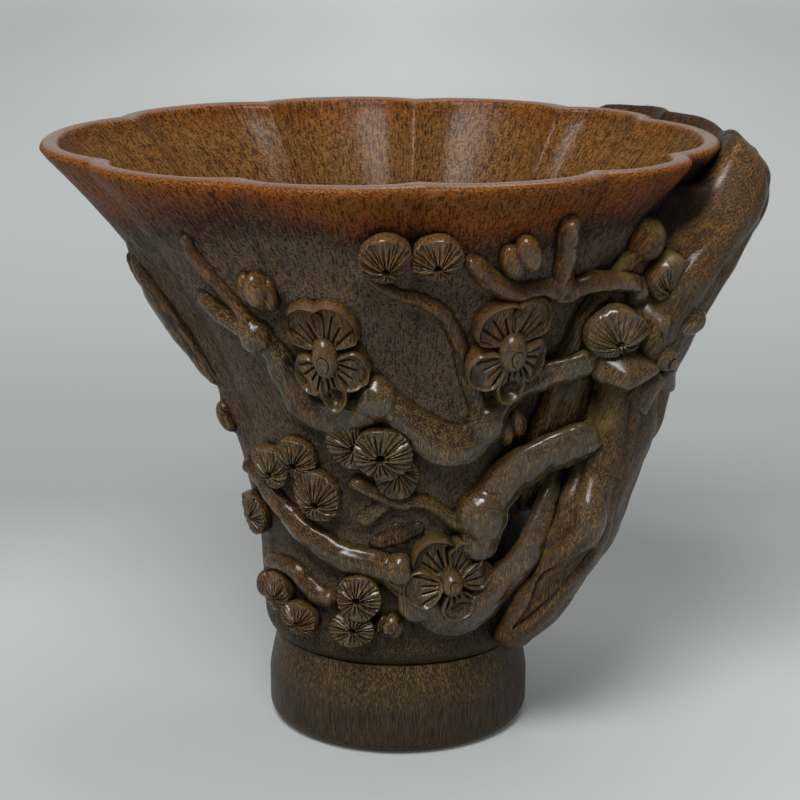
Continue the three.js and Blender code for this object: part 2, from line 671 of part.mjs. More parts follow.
const limbs = [
  ['thick_branch', [[thickBranchShares, limbSizes], [thickTwigShares, twigSizes]], woodyMaterial],
  ['low_branch', [[lowBranchShares, limbSizes]], woodyMaterial],
  ['long_branch', [[longBranchShares, limbSizes], [longTwigShares, twigSizes]], woodyMaterial],
  ['upper_twig', [[upperTwigShares, twigSizes]], woodyMaterial],
  ['low_twig', [[lowTwigShares, twigSizes]], woodyMaterial],
  ['rear_branch', [[rearBranchShares, limbSizes], [rearTwigShares, twigSizes]], woodyMaterial],
  ['rear_low_branch', [[rearLowBranchShares, limbSizes]], woodyMaterial],
];
for (const [name, families, material] of limbs) {
  carve(name, (room) => joined(families, room), material());
}

for (const [name, shares] of Object.entries(blossomShares)) {
  const place = placeOf(shares, { radius: blossomRadius, relief: blossomRelief });
  carve(name, (room) => toSolid(blossomGeometry(place, room)), petalMaterial());
}
for (const [name, shares] of Object.entries(clusterShares)) {
  const place = placeOf(shares, { radius: clusterRadius, relief: clusterRelief });
  carve(name, (room) => toSolid(clusterGeometry(place, room)), needleMaterial());
}
for (const [name, shares] of Object.entries(budShares)) {
  const place = placeOf(shares, { radius: budRadius, relief: budRelief });
  carve(name, (room) => toSolid(budGeometry(place, room)), petalMaterial());
}
for (const [name, route] of Object.entries(leafShares)) {
  carve(name, (room) => toSolid(limbGeometry(route, leafSizes, room)), leafMaterial());
}

// The origin is the middle of the whole cup's footprint, at the foot's underside.
const reach = new THREE.Box3().setFromObject(cup);
const middle = reach.getCenter(new THREE.Vector3());
for (const piece of cup.children) piece.position.set(-middle.x, -middle.y, 0);

export default cup;
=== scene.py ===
"""Carves a horn libation cup: a lobed bowl wrapped in blossoming branches, with a trunk for its handle."""

import json
import math
from contextlib import contextmanager

import bmesh
import bpy
import numpy as np
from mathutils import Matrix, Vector, noise
from mathutils.bvhtree import BVHTree
from mathutils.kdtree import KDTree

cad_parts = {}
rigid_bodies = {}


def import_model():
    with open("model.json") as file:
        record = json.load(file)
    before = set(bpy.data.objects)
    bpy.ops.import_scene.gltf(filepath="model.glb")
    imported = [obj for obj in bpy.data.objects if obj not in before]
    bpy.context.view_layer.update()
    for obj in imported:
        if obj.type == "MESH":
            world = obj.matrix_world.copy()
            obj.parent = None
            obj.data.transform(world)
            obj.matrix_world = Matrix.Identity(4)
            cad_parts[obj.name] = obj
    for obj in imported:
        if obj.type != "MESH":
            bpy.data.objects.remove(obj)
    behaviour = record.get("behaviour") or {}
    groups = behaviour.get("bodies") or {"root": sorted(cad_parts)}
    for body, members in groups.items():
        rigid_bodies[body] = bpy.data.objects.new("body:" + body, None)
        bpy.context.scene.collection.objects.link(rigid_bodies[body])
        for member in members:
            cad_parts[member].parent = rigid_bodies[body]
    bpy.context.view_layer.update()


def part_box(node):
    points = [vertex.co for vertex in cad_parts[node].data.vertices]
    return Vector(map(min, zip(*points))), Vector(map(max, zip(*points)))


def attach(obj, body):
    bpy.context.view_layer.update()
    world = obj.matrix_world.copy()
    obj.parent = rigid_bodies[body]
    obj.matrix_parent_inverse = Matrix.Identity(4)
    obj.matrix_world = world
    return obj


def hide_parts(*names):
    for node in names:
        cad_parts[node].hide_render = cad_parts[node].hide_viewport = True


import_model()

bl_info = {
    "name": "Carved Horn Cup",
    "version": (1, 0, 0),
    "blender": (4, 5, 0),
    "location": "View3D > Sidebar > Horn Cup",
    "description": "Carves a lobed horn cup with blossoming branches and a trunk for its handle",
    "category": "Add Mesh",
}

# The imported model's boxes give the cup's place and its overall sizes.
BOWL_LOW, BOWL_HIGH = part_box("bowl")
FOOT_LOW, FOOT_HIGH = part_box("foot")
AXIS_X = (FOOT_LOW[0] + FOOT_HIGH[0]) / 2
AXIS_Y = (FOOT_LOW[1] + FOOT_HIGH[1]) / 2

# How the wall flares, and how a groove between two lobes deepens
FLARE_POWER = 2.4
GROOVE_POWER = 1.5
RIDGE_POWER = 2.2

# Grooves between the lobes of the bowl, in degrees round the cup from +X
GROOVE_TURNS = [27, 50, 83, 115, 150, 211, 245, 277, 311, 337]

# Places on the wall are (turn in degrees, level from the foot's top (0) to the rim (1),
# width share, relief share, standoff share); a missing relief is the width share, and a
# missing standoff is none.
TRUNK_ROUTE = [
    (315, 0.035, 0.26, 0.3, 0.1), (320, 0.07, 0.42, 0.44, 0.3), (326, 0.115, 0.6, 0.58, 0.44),
    (332, 0.175, 0.76, 0.72, 0.54), (338, 0.255, 0.92, 0.88, 0.74), (343, 0.35, 1, 0.92, 0.8),
    (346, 0.44, 0.98, 0.985, 0.8), (348, 0.53, 0.96, 1.035, 0.74), (349, 0.62, 0.98, 0.99, 0.6),
    (349, 0.71, 1.02, 1.04, 0.44), (350.5, 0.8, 0.96, 1.08, 0.3), (352.5, 0.88, 0.9, 1.08, 0.18),
    (355.5, 0.95, 0.86, 1.02, 0.06), (358.5, 1.005, 0.84, 0.9, 0),
]
BARK_ROUTE = [
    (328, 0.3, 0.4, 0.26, 0), (332, 0.38, 0.66, 0.42, 0), (336, 0.48, 0.82, 0.5, 0),
    (336.5, 0.57, 0.86, 0.48, 0), (336, 0.64, 0.86, 0.42, 0), (336.5, 0.71, 0.9, 0.38, 0),
    (339, 0.78, 0.96, 0.36, 0), (343, 0.86, 0.9, 0.4, 0), (348, 0.93, 0.7, 0.4, 0),
]
# The scar's lips end with how far they stand proud, as a share of the trunk's thickness.
SCAR_UPPER_LIP = [
    (328.5, 0.288, 1.24), (323, 0.266, 1.12), (320, 0.231, 0.985), (318, 0.206, 0.83), (317, 0.172, 0.74),
    (316, 0.135, 0.66), (313.5, 0.088, 0.53),
]
SCAR_LOWER_LIP = [
    (328.7, 0.284, 1.24), (328, 0.262, 1.24), (327, 0.223, 1.18), (323, 0.17, 1), (319, 0.129, 0.815),
    (315.5, 0.1, 0.65), (313.2, 0.086, 0.52),
]
SHOULDER_ROUTE = [
    (-1, 0.985, 0.56, 0.84, 0), (7, 0.965, 0.42, 0.7, 0), (12, 0.975, 0.4, 0.58, 0),
    (22, 0.985, 0.34, 0.46, 0), (34, 0.99, 0.26, 0.34, 0), (46, 0.99, 0.16, 0.22, 0),
]
THICK_BRANCH_ROUTE = [
    (330, 0.5, 1, 1, 1.05), (324, 0.48, 1.14, 1.06, 0.8), (317, 0.45, 1.14, 1.04, 0.46),
    (310, 0.4, 1.06, 1, 0.14), (304, 0.345, 1.02, 0.98, 0), (301, 0.285, 0.96, 0.96, 0),
    (300, 0.235, 0.84, 0.86, 0),
]
THICK_TWIG_ROUTES = [
    [(300, 0.32, 0.9, 0.8), (292.5, 0.31, 0.7, 0.8), (286, 0.338, 0.6, 0.74), (279, 0.362, 0.75, 0.8),
     (272, 0.362, 0.8, 0.8), (265, 0.378, 0.72, 0.76), (255, 0.405, 0.8, 0.8)],
    [(268, 0.366, 0.7, 0.76), (262, 0.335, 0.7, 0.7), (257, 0.32, 0.95, 0.84)],
]
LOW_BRANCH_ROUTE = [
    (334, 0.4, 0.86, 0.6, 0.4), (327, 0.35, 0.9, 0.8, 0.5), (322, 0.28, 1, 0.95, 0.55),
    (316.5, 0.22, 1, 0.95, 0.4), (310, 0.172, 0.92, 0.95, 0.1), (302, 0.135, 0.98, 0.84, 0),
    (292, 0.118, 0.98, 0.72, 0), (284, 0.135, 0.9, 0.72, 0), (277, 0.17, 0.8, 0.66, 0),
    (271, 0.205, 0.7, 0.64, 0), (263, 0.228, 0.72, 0.66, 0), (255, 0.237, 0.76, 0.68, 0),
    (246, 0.25, 0.72, 0.66, 0), (234, 0.285, 0.66, 0.62, 0), (225, 0.325, 0.6, 0.58, 0),
    (216, 0.366, 0.54, 0.54, 0), (204, 0.39, 0.44, 0.46, 0),
]
LOW_TWIG_ROUTES = [
    [(206, 0.18, 0.7, 0.7), (219, 0.193, 0.8, 0.8), (227, 0.19, 0.86, 0.86), (232, 0.168, 0.9, 0.86),
     (238, 0.15, 0.9, 0.86), (246, 0.15, 0.8, 0.8)],
]
LONG_BRANCH_ROUTE = [
    (226, 0.772, 0.4, 0.44), (230, 0.733, 0.48, 0.48), (236, 0.708, 0.54, 0.5), (240, 0.668, 0.62, 0.5),
    (241.5, 0.6, 0.7, 0.5), (244, 0.553, 0.76, 0.54), (252, 0.536, 0.78, 0.6), (262, 0.56, 0.84, 0.72),
    (268, 0.575, 0.72, 0.68), (276, 0.525, 0.84, 0.74), (284, 0.488, 0.94, 0.82), (292, 0.482, 0.94, 0.8),
    (298, 0.51, 0.84, 0.6), (304, 0.56, 0.7, 0.5), (313, 0.6, 0.66, 0.6, 0.1), (321, 0.63, 0.66, 0.7, 0.35),
    (329, 0.66, 0.66, 0.74, 0.6),
]
LONG_TWIG_ROUTES = [
    [(232, 0.89, 0.46, 0.5), (231.5, 0.85, 0.56, 0.6), (233, 0.81, 0.6, 0.6), (235, 0.76, 0.66, 0.66),
     (237, 0.71, 0.7, 0.66)],
    [(266.5, 0.832, 0.4, 0.46), (272, 0.797, 0.56, 0.6), (280, 0.77, 0.66, 0.66), (284.5, 0.727, 0.66, 0.6),
     (287.5, 0.676, 0.66, 0.6), (290, 0.62, 0.7, 0.6), (295, 0.56, 0.7, 0.6), (298, 0.52, 0.7, 0.6)],
]
UPPER_TWIG_ROUTES = [
    [(285.5, 0.868, 0.66, 0.86), (291, 0.82, 0.8, 0.86), (297, 0.79, 0.8, 0.8), (305, 0.79, 0.7, 0.8),
     (312, 0.768, 0.8, 0.9), (317, 0.79, 0.86, 1, 0.05), (324, 0.795, 0.86, 1, 0.25),
     (331, 0.79, 0.8, 1, 0.45)],
    [(303.5, 0.93, 0.84, 0.9), (306, 0.88, 0.9, 1), (309, 0.82, 0.9, 1), (312, 0.77, 0.86, 0.96)],
]
REAR_BRANCH_ROUTE = [
    (22, 0.62, 0.8, 0.8, 0.25), (32, 0.56, 0.84, 0.84, 0.1), (44, 0.5, 0.88, 0.84, 0),
    (56, 0.475, 0.84, 0.8, 0), (68, 0.5, 0.8, 0.76, 0), (80, 0.545, 0.76, 0.72, 0), (92, 0.535, 0.7, 0.68, 0),
    (104, 0.49, 0.66, 0.62, 0), (118, 0.46, 0.6, 0.58, 0), (132, 0.475, 0.52, 0.5, 0),
    (146, 0.52, 0.4, 0.42, 0),
]
REAR_TWIG_ROUTES = [
    [(66, 0.5, 0.9, 0.8), (70, 0.58, 0.8, 0.8), (68, 0.66, 0.7, 0.74), (72, 0.74, 0.56, 0.6)],
    [(104, 0.5, 0.9, 0.8), (112, 0.57, 0.76, 0.76), (122, 0.62, 0.6, 0.66), (130, 0.69, 0.46, 0.5)],
]
REAR_LOW_BRANCH_ROUTE = [
    (14, 0.3, 0.9, 0.86, 0.4), (26, 0.24, 0.9, 0.86, 0.1), (40, 0.2, 0.86, 0.8, 0), (56, 0.19, 0.8, 0.76, 0),
    (72, 0.215, 0.74, 0.7, 0), (90, 0.25, 0.7, 0.66, 0), (108, 0.26, 0.64, 0.6, 0),
    (126, 0.235, 0.56, 0.54, 0), (144, 0.24, 0.5, 0.5, 0), (160, 0.28, 0.42, 0.44, 0),
]
# Branches as (thick routes, thin routes, tilt)
BRANCHES = {
    "thick_branch": ([THICK_BRANCH_ROUTE], THICK_TWIG_ROUTES, 0.15),
    "low_branch": ([LOW_BRANCH_ROUTE], [], -0.2),
    "long_branch": ([LONG_BRANCH_ROUTE], LONG_TWIG_ROUTES, 0.5),
    "upper_twig": ([], UPPER_TWIG_ROUTES, 0.1),
    "low_twig": ([], LOW_TWIG_ROUTES, 0.1),
    "rear_branch": ([REAR_BRANCH_ROUTE], REAR_TWIG_ROUTES, 0.2),
    "rear_low_branch": ([REAR_LOW_BRANCH_ROUTE], [], -0.2),
}

LEAF_ROUTES = {
    "left_leaf": [(197, 0.8, 0.4, 0.4), (197, 0.75, 0.86, 0.8), (198, 0.68, 1, 0.9), (200, 0.61, 0.86, 0.8),
                  (203, 0.545, 0.4, 0.4)],
    "left_leaf_tip": [(187, 0.79, 0.36, 0.4), (186.5, 0.75, 0.74, 0.7), (187.5, 0.69, 0.8, 0.7),
                      (190, 0.62, 0.4, 0.4)],
    "fallen_leaf": [(259, 0.27, 0.36, 0.3), (266, 0.285, 0.8, 0.36), (274, 0.3, 0.9, 0.36),
                    (281, 0.315, 0.5, 0.3)],
}

# Knots and burls that swell a limb: (turn, level, radius in limb widths, height above the wall
# in limb reliefs)
KNOTS = {
    "trunk": [(329, 0.868, 0.5, 0.3)],
    "thick_branch": [(300.5, 0.33, 0.6, 0.5)],
    "low_branch": [(271, 0.225, 0.36, 0.4), (277, 0.155, 0.44, 0.3)],
    "long_branch": [(237.5, 0.7, 0.36, 0.3), (266, 0.592, 0.44, 0.42), (298, 0.52, 0.5, 0.2)],
    "upper_twig": [(333, 0.78, 0.42, 0.8)],
}

# Soft swells and pits of the trunk as (turn, level, proud, radius, push) with lengths in metres
SWELLS = [
    (323, 0.335, 0.0165, 0.0055, 0.003), (318, 0.3, 0.015, 0.0035, 0.001), (343, 0.96, 0.0059, 0.006, 0.0016),
    (336, 0.925, 0.001, 0.0045, -0.0028), (333, 0.903, 0.001, 0.0035, -0.002),
    (326, 0.46, 0.0135, 0.004, -0.0015),
]

# Spots where dust lies thick, where shade is painted black into the hollows and where hands have polished the
# relief, as (turn, level, proud, radius)
DUST_SPOTS = [
    (330, 0.883, 0.0049, 0.0035), (335, 0.872, 0.006, 0.003), (331, 0.549, 0.0105, 0.003),
    (326, 0.82, 0.0035, 0.003), (333, 0.6, 0.009, 0.003),
]
# Painted shadow: these spots blacken the deep hollow under the rim beside the trunk, where shade falls.
PAINTED_SHADOW_SPOTS = [
    (341, 0.945, 0.001, 0.0045), (339, 0.934, 0.001, 0.005), (336.5, 0.925, 0.001, 0.005),
    (334, 0.915, 0.001, 0.0045), (331, 0.907, 0, 0.0035),
]
POLISHED_SPOTS = [(343, 0.965, 0.0065, 0.007), (323, 0.355, 0.0185, 0.0055), (335, 0.84, 0.012, 0.004)]

# Bosses are (turn, level, width share, height share, relief share, perch share): a perched boss
# stands off the wall on a narrow stalk.
BLOSSOMS = {
    "blossom_left": (255.5, 0.682, 0.88, 1.28, 0.96, 0),
    "blossom_right": (299, 0.684, 0.98, 1.26, 1, 0),
    "blossom_low": (289, 0.2, 0.94, 1.1, 1, 0),
    "blossom_side": (338.5, 0.685, 1.06, 1.2, 0.95, 1.5),
    "blossom_rear": (86, 0.64, 1, 1.15, 1, 0),
    "blossom_rear_low": (118, 0.3, 0.9, 1, 1, 0),
}

# Petals of each blossom as (direction in degrees from the right, reach share, half width share,
# kind): a dish has a raised rim, a leaf is flat with broad cuts, a spoon is hollow at its end, and a
# plain one is smooth.
PETALS = {
    "blossom_left": [(122, 1, 0.5, "dish"), (63, 1.02, 0.52, "dish"), (-24, 0.98, 0.4, "leaf"),
                     (-84, 1, 0.34, "spoon"), (216, 0.98, 0.4, "leaf")],
    "blossom_right": [(124, 1, 0.5, "dish"), (62, 1.02, 0.5, "dish"), (-20, 0.98, 0.4, "leaf"),
                      (-82, 1, 0.36, "spoon"), (214, 0.98, 0.4, "leaf")],
    "blossom_low": [(122, 1, 0.5, "dish"), (60, 0.94, 0.38, "dish"), (8, 0.98, 0.32, "leaf"),
                    (-74, 0.86, 0.4, "spoon"), (188, 1, 0.44, "leaf")],
    "blossom_side": [(86, 0.9, 0.46, "leaf"), (14, 1, 0.44, "leaf"), (-48, 1.1, 0.31, "plain"),
                     (-102, 1.25, 0.33, "plain"), (-158, 1.35, 0.34, "plain")],
    "blossom_rear": [(124, 1, 0.5, "dish"), (60, 1, 0.5, "dish"), (-16, 0.98, 0.4, "leaf"),
                     (-84, 1, 0.36, "spoon"), (208, 0.96, 0.4, "leaf")],
    "blossom_rear_low": [(116, 1, 0.5, "dish"), (52, 0.98, 0.46, "dish"), (-20, 1, 0.4, "leaf"),
                         (-92, 0.96, 0.38, "spoon"), (196, 1, 0.42, "leaf")],
}

# How big a blossom's heart is, where it isn't full size
HEARTS = {"blossom_low": 0.78, "blossom_side": 0.8}

# Clusters add where their hub lies off the middle, as shares of their half width and half
# height, and their turn in degrees.
CLUSTERS = {
    "cluster_top_left": (270.6, 0.885, 1, 1.1, 1, 0, 0, -0.42, 0),
    "cluster_top_right": (279.6, 0.88, 0.96, 1.06, 0.94, 0, 0.02, -0.3, 8),
    "cluster_middle": (267, 0.48, 1.1, 1.28, 1.16, 0, -0.1, -0.08, 4),
    "cluster_middle_left": (257.4, 0.49, 0.98, 1.1, 0.9, 0, 0.2, 0, 0),
    "cluster_middle_low": (270.6, 0.425, 0.9, 1.06, 0.82, 0, 0.05, 0.3, 0),
    "cluster_low": (256, 0.168, 0.9, 1.04, 1.04, 0, -0.05, -0.05, 0),
    "cluster_lowest": (252.6, 0.098, 0.92, 0.8, 0.9, 0, 0.1, 0.02, 0),
    "cluster_lean": (324, 0.72, 1, 1.2, 0.8, 0.75, 0.12, -0.34, 0),
    "cluster_fan": (336, 0.822, 1, 1.1, 0.8, 0.95, -0.1, -0.4, 0),
    "cluster_left_a": (226.5, 0.42, 0.86, 1, 0.9, 0, 0.1, -0.3, 0),
    "cluster_left_b": (238, 0.448, 0.8, 0.96, 0.84, 0, -0.1, -0.3, 0),
    "cluster_left_c": (243.5, 0.375, 0.96, 1.14, 0.96, 0, -0.1, -0.35, 0),
    "cluster_edge": (206, 0.29, 0.9, 1, 0.8, 0, 0, -0.2, 0),
    "cluster_heel_a": (217, 0.14, 0.8, 0.9, 0.84, 0, 0.2, -0.3, 0),
    "cluster_heel_b": (229.5, 0.1, 0.84, 0.76, 0.9, 0, 0.1, -0.3, 0),
    "cluster_rear_a": (54, 0.6, 1, 1.1, 1, 0, 0, -0.3, 0),
    "cluster_rear_b": (61, 0.575, 0.9, 1, 0.84, 0, 0.1, -0.2, 0),
    "cluster_rear_c": (130, 0.55, 0.9, 1, 0.9, 0, -0.1, -0.3, 0),
    "cluster_rear_low_a": (66, 0.13, 0.96, 0.9, 0.9, 0, 0, -0.1, 0),
    "cluster_rear_low_b": (90, 0.33, 0.96, 1, 0.9, 0, 0.1, -0.3, 0),
}

# Buds end with their turn in degrees.
BUDS = {
    "bud_left": (242.5, 0.795, 1, 1.3, 1, 0, -14),
    "bud_right": (295.5, 0.865, 1.02, 1.3, 1, 0, 35),
    "bud_middle": (309, 0.5, 0.86, 1.2, 0.9, 0, 30),
    "bud_low": (266.8, 0.105, 0.8, 0.8, 0.8, 0, -20),
    "bud_side": (343.5, 0.75, 1.2, 1.4, 0.8, 1.75, -30),
    "bud_edge_high": (199, 0.475, 0.74, 1, 0.7, 0, 10),
    "bud_edge_low": (203, 0.125, 0.74, 1, 0.7, 0, -10),
    "bud_rear": (70, 0.8, 0.9, 1.2, 0.9, 0, 15),
}

# How much a boss's face rises towards the back and towards the rim, as slopes
LEANS = {
    "blossom_left": (0, -0.2), "blossom_right": (0.05, -0.2), "blossom_low": (0, -0.12),
    "blossom_side": (0.3, -0.1), "blossom_rear": (0, -0.2), "blossom_rear_low": (0, -0.12),
    "cluster_lean": (0.75, 0), "cluster_fan": (0.6, 0), "bud_side": (0.3, 0), "bud_right": (0.2, 0),
}

# What each kind of bud is made of, as (middle, half axes) of its rounded parts
BUD_PARTS = {
    "egg": [((0.04, 0.12, 0.5), (0.56, 0.8, 0.5)), ((0.5, -0.14, 0.34), (0.46, 0.82, 0.42)),
            ((-0.54, -0.16, 0.28), (0.4, 0.74, 0.4)), ((0, -0.74, 0.25), (0.42, 0.3, 0.3))],
    "split": [((0.36, 0.06, 0.46), (0.54, 0.9, 0.5)), ((-0.38, 0.02, 0.38), (0.5, 0.86, 0.46)),
              ((0, -0.72, 0.22), (0.44, 0.32, 0.28))],
}
SPLIT_BUDS = {"bud_right", "bud_middle", "bud_edge_high", "bud_rear"}

# How far along its radius each kind of petal is cut, how many degrees lie between its cuts, and
# how its tip widens, as (share, power)
CUT_REACH = {"dish": 0.7, "leaf": 0.62, "spoon": 0.5, "plain": 0.2}
CUT_SPACING = 16.0
TIP_SHAPES = {"leaf": (-0.22, 1.5), "plain": (0.25, 1.2)}

# How far a stalk runs into its boss, and the foot into the bowl
STALK_OVERLAP = 0.001
FOOT_OVERLAP = 0.0004

# Directions that a vertex looks in for its neighbours, in its own frame, as (tilt, turn) in
# degrees, how far it looks as a share of the cup's height, and how far off it starts
GLANCES = [(20, 0), (50, 72), (50, 216), (68, 0), (68, 144), (68, 288)]
GLANCE_REACH_SHARE = 0.05
GLANCE_START = 0.00012

# The level at which the wall ends and the lip begins, and how high relief counts as full
LIP_LEVEL = 0.985
FULL_LIFT = 0.006

# Painted shade on the paper: the share of its colour kept at some depths, in metres behind the cup
PAINTED_PAPER_SHADE = [
    (-0.03, 0.9), (0.01, 0.9), (0.06, 0.82), (0.122, 0.6), (0.206, 0.66), (0.32, 0.82), (0.48, 0.93),
    (0.8, 0.9), (1.1, 0.75),
]
PAPER_NEAR, PAPER_FAR = -0.1, 1.2

# The backdrop in metres: the floor's side, where its sweep starts and how wide it is, and the wall
FLOOR_SIDE = 4
SWEEP_STEP = 0.4
SWEEP_WIDTH = 0.3
WALL_HEIGHT = 3

# Soft lights as (the setting that holds their power, width, place), in metres
LIGHTS = {
    "key_light": ("key_power", 0.4, (-0.16, -0.5, 0.8)),
    "top_light": ("top_power", 0.5, (0.16, 0.16, 0.9)),
    "fill_light": ("fill_power", 0.6, (-0.9, -0.4, 0.35)),
}
SKY_COLOUR = (0.92, 0.96, 1.0)
SENSOR_WIDTH = 36

# Shares of the cup's height at which the relief starts to warm towards the rim and is warmest, and
# at which dust on ledges ends and is thickest
WARM_NONE, WARM_FULL = 0.7, 0.84
DUST_NONE, DUST_FULL = 0.93, 0.87

# Noise in the materials, as (scale, detail, roughness)
CLOUDS = {
    "patchy": (160.0, 3.0, 0.6), "broad": (110.0, 3.0, 0.55), "warm": (75.0, 2.0, 0.5),
    "drift": (30.0, 3.0, 0.5), "mottled": (900.0, 3.0, 0.65), "grain": (2600.0, 1.0, 0.5),
}

# How strongly the fibres stand out, how deep they are in metres, and how rough the polish is
GRAIN_BUMP = 0.8
GRAIN_DEPTH = 0.00012
COAT_ROUGHNESS = 0.21

# How finely things are divided: vertices round a ring, rings, points on a line and rounds of
# smoothing
BOWL_SECTORS = 448
BOWL_ROWS = 110
FOOT_SECTORS = 160
FOOT_EDGE_RINGS = 9
FOOT_WALL_RINGS = 24
BARE_WALL_SECTORS = 180
BARE_WALL_ROWS = 90
COURSE_POINTS = 200
POLISHING_ROUNDS = 120
LIMB_SECTORS = 32
TRUNK_SECTORS = 84
STALK_SECTORS = 16
STALK_RINGS = 6
SCAR_POINTS = 80
PETAL_SECTORS = 44
PETAL_RINGS = 11
NEEDLES = 26
BALL_SEGMENTS = 48
BALL_RINGS = 32
SWEEP_SEGMENTS = 12

# Edges up to this many degrees look smooth
SMOOTH_ANGLE = 50

# How each kind of limb is cut: shares for its flutes, tilt, ridge and lean, and what its wandering
# starts from
CUTS = {
    "trunk": {"flutes": 0.12, "lean": 0.5, "seed": 2, "sectors": TRUNK_SECTORS},
    "bark": {"flutes": 0.16, "seed": 6, "sectors": TRUNK_SECTORS},
    "rim_shoulder": {"flutes": 0.08, "seed": 3, "sectors": TRUNK_SECTORS},
    "branch": {"flutes": 0.1, "ridge": 0.4},
    "twig": {"flutes": 0.1, "ridge": 0.45, "tilt": 0.1},
    "leaf": {"flutes": 0.3, "ridge": 0.3, "tilt": 0.3},
}
FIRST_TWIG_SEED = 9
FIRST_LEAF_SEED = 20

# How each kind of limb is skinned, as (grain share, rounds of smoothing, share of the whittling)
SKINS = {"trunk": (1.2, 8, 0.3), "rim_shoulder": (1, 8, 0.2), "branch": (1, 5, 1), "leaf": (0.8, 2, 1)}


def length(metres, name, description):
    """A size in metres that a user can change."""
    return bpy.props.FloatProperty(
        name=name, description=description, default=metres, min=0, precision=4,
        subtype="DISTANCE", unit="LENGTH")


def tone(red, green, blue, name, description):
    """A colour that a user can change."""
    return bpy.props.FloatVectorProperty(
        name=name, description=description, default=(red, green, blue), size=3, min=0, max=1,
        subtype="COLOR")


def level(value, name, description):
    """A plain number that a user can change."""
    return bpy.props.FloatProperty(name=name, description=description, default=value, min=0)


class CupSizes(bpy.types.PropertyGroup):
    """Sizes of the bowl and foot."""

    cup_height: length(BOWL_HIGH[2], "Cup height", "Height of the rim above the table")
    foot_height: length(BOWL_LOW[2], "Foot height", "Height of the foot")
    rim_half_length: length(0.0643, "Rim half length", "Half the mouth's length, without its shift")
    rim_half_depth: length(0.049, "Rim half depth", "Half the mouth's depth")
    waist_half_length: length(0.026, "Waist half length", "Half the bowl's length at the foot")
    waist_half_depth: length(0.0235, "Waist half depth", "Half the bowl's depth at the foot")
    rim_shift: length(0.0033, "Rim shift", "How far the mouth leans away from the handle")
    heel_radius: length(0.005, "Heel radius", "Height of the rounded heel of the bowl")
    heel_tuck: length(0.0034, "Heel tuck", "How far the heel draws in at the foot")
    lobe_depth: length(0.003, "Lobe depth", "Depth of the grooves between lobes at the rim")
    ridge_height: length(0.0014, "Ridge height", "How far a groove's ridge stands out inside the mouth")
    lip_thickness: length(0.0038, "Lip thickness", "Thickness of the wall at the lip")
    waist_wall: length(0.006, "Waist wall", "Thickness of the wall at the foot")
    floor_thickness: length(0.007, "Floor thickness", "Thickness of the bowl's floor")
    floor_dish: length(0.004, "Floor dish", "Depth of the floor's dish")
    foot_half_length: length((FOOT_HIGH[0] - FOOT_LOW[0]) / 2, "Foot half length", "Half the foot's length")
    foot_half_depth: length((FOOT_HIGH[1] - FOOT_LOW[1]) / 2, "Foot half depth", "Half the foot's depth")
    foot_top_inset: length(0.0018, "Foot top inset", "How far the foot draws in at its top")
    foot_edge_radius: length(0.003, "Foot edge radius", "Radius of the foot's lower edge")
    foot_recess_depth: length(0.0025, "Foot recess depth", "Depth of the hollow under the foot")
    foot_ring_width: length(0.0065, "Foot ring width", "Width of the ring that the foot stands on")


class CarvingSizes(bpy.types.PropertyGroup):
    """Sizes of the relief, and how finely it is cut."""

    sink: length(0.0006, "Sink", "How far a piece's underside runs into the wall")
    gap: length(0.0003, "Rise", "How far a piece's relief starts above the wall")
    limb_width: length(0.008, "Limb width", "Width of a branch")
    limb_relief: length(0.0056, "Limb relief", "Height of a branch")
    twig_width: length(0.0046, "Twig width", "Width of a twig")
    twig_relief: length(0.0032, "Twig relief", "Height of a twig")
    leaf_width: length(0.005, "Leaf width", "Width of a leaf")
    leaf_relief: length(0.0036, "Leaf relief", "Height of a leaf")
    trunk_width: length(0.022, "Trunk width", "Width of the trunk")
    trunk_thickness: length(0.013, "Trunk thickness", "Thickness of the trunk")
    trunk_standoff: length(0.007, "Trunk standoff", "How far the trunk stands off the wall")
    scar_lip: length(0.0005, "Scar lip", "Width of the cut round the scar at the trunk's foot")
    scar_depth: length(0.0016, "Scar depth", "Depth of the scar")
    blossom_radius: length(0.009, "Blossom radius", "Radius of a blossom")
    blossom_relief: length(0.0064, "Blossom relief", "Height of a blossom")
    cluster_radius: length(0.0044, "Cluster radius", "Radius of a needle cluster")
    cluster_relief: length(0.0044, "Cluster relief", "Height of a needle cluster")
    bud_radius: length(0.0036, "Bud radius", "Radius of a bud")
    bud_relief: length(0.0044, "Bud relief", "Height of a bud")
    perch_height: length(0.008, "Perch height", "How high a perched boss stands")
    stalk_length: length(0.005, "Stalk length", "Length of the stalk under a perched boss")
    ring_spacing: length(0.0011, "Ring spacing", "Distance between the rings of a limb")
    limb_voxel: length(0.00036, "Limb grain", "Voxel size of the limbs")
    bark_swell: length(0.00034, "Bark swell", "How far the bark wanders in and out")
    whittling: length(0.00045, "Whittling", "Depth of the knife's facets on the branches")
    ground_swell: length(0.0003, "Ground swell", "How far the ground wanders in and out")
    fillet: length(0.0011, "Fillet", "How far the ground climbs up beside a piece")
    fillet_reach: length(0.0036, "Fillet reach", "How far from a piece the ground starts to climb")
    furrow_pitch: length(0.0046, "Furrow pitch", "From one furrow of the trunk's outer side to the next")
    furrow_depth: length(0.0005, "Furrow depth", "Depth of the furrows in the trunk's outer side")
    vein_depth: length(0.0005, "Vein depth", "Depth of the cuts in a petal")


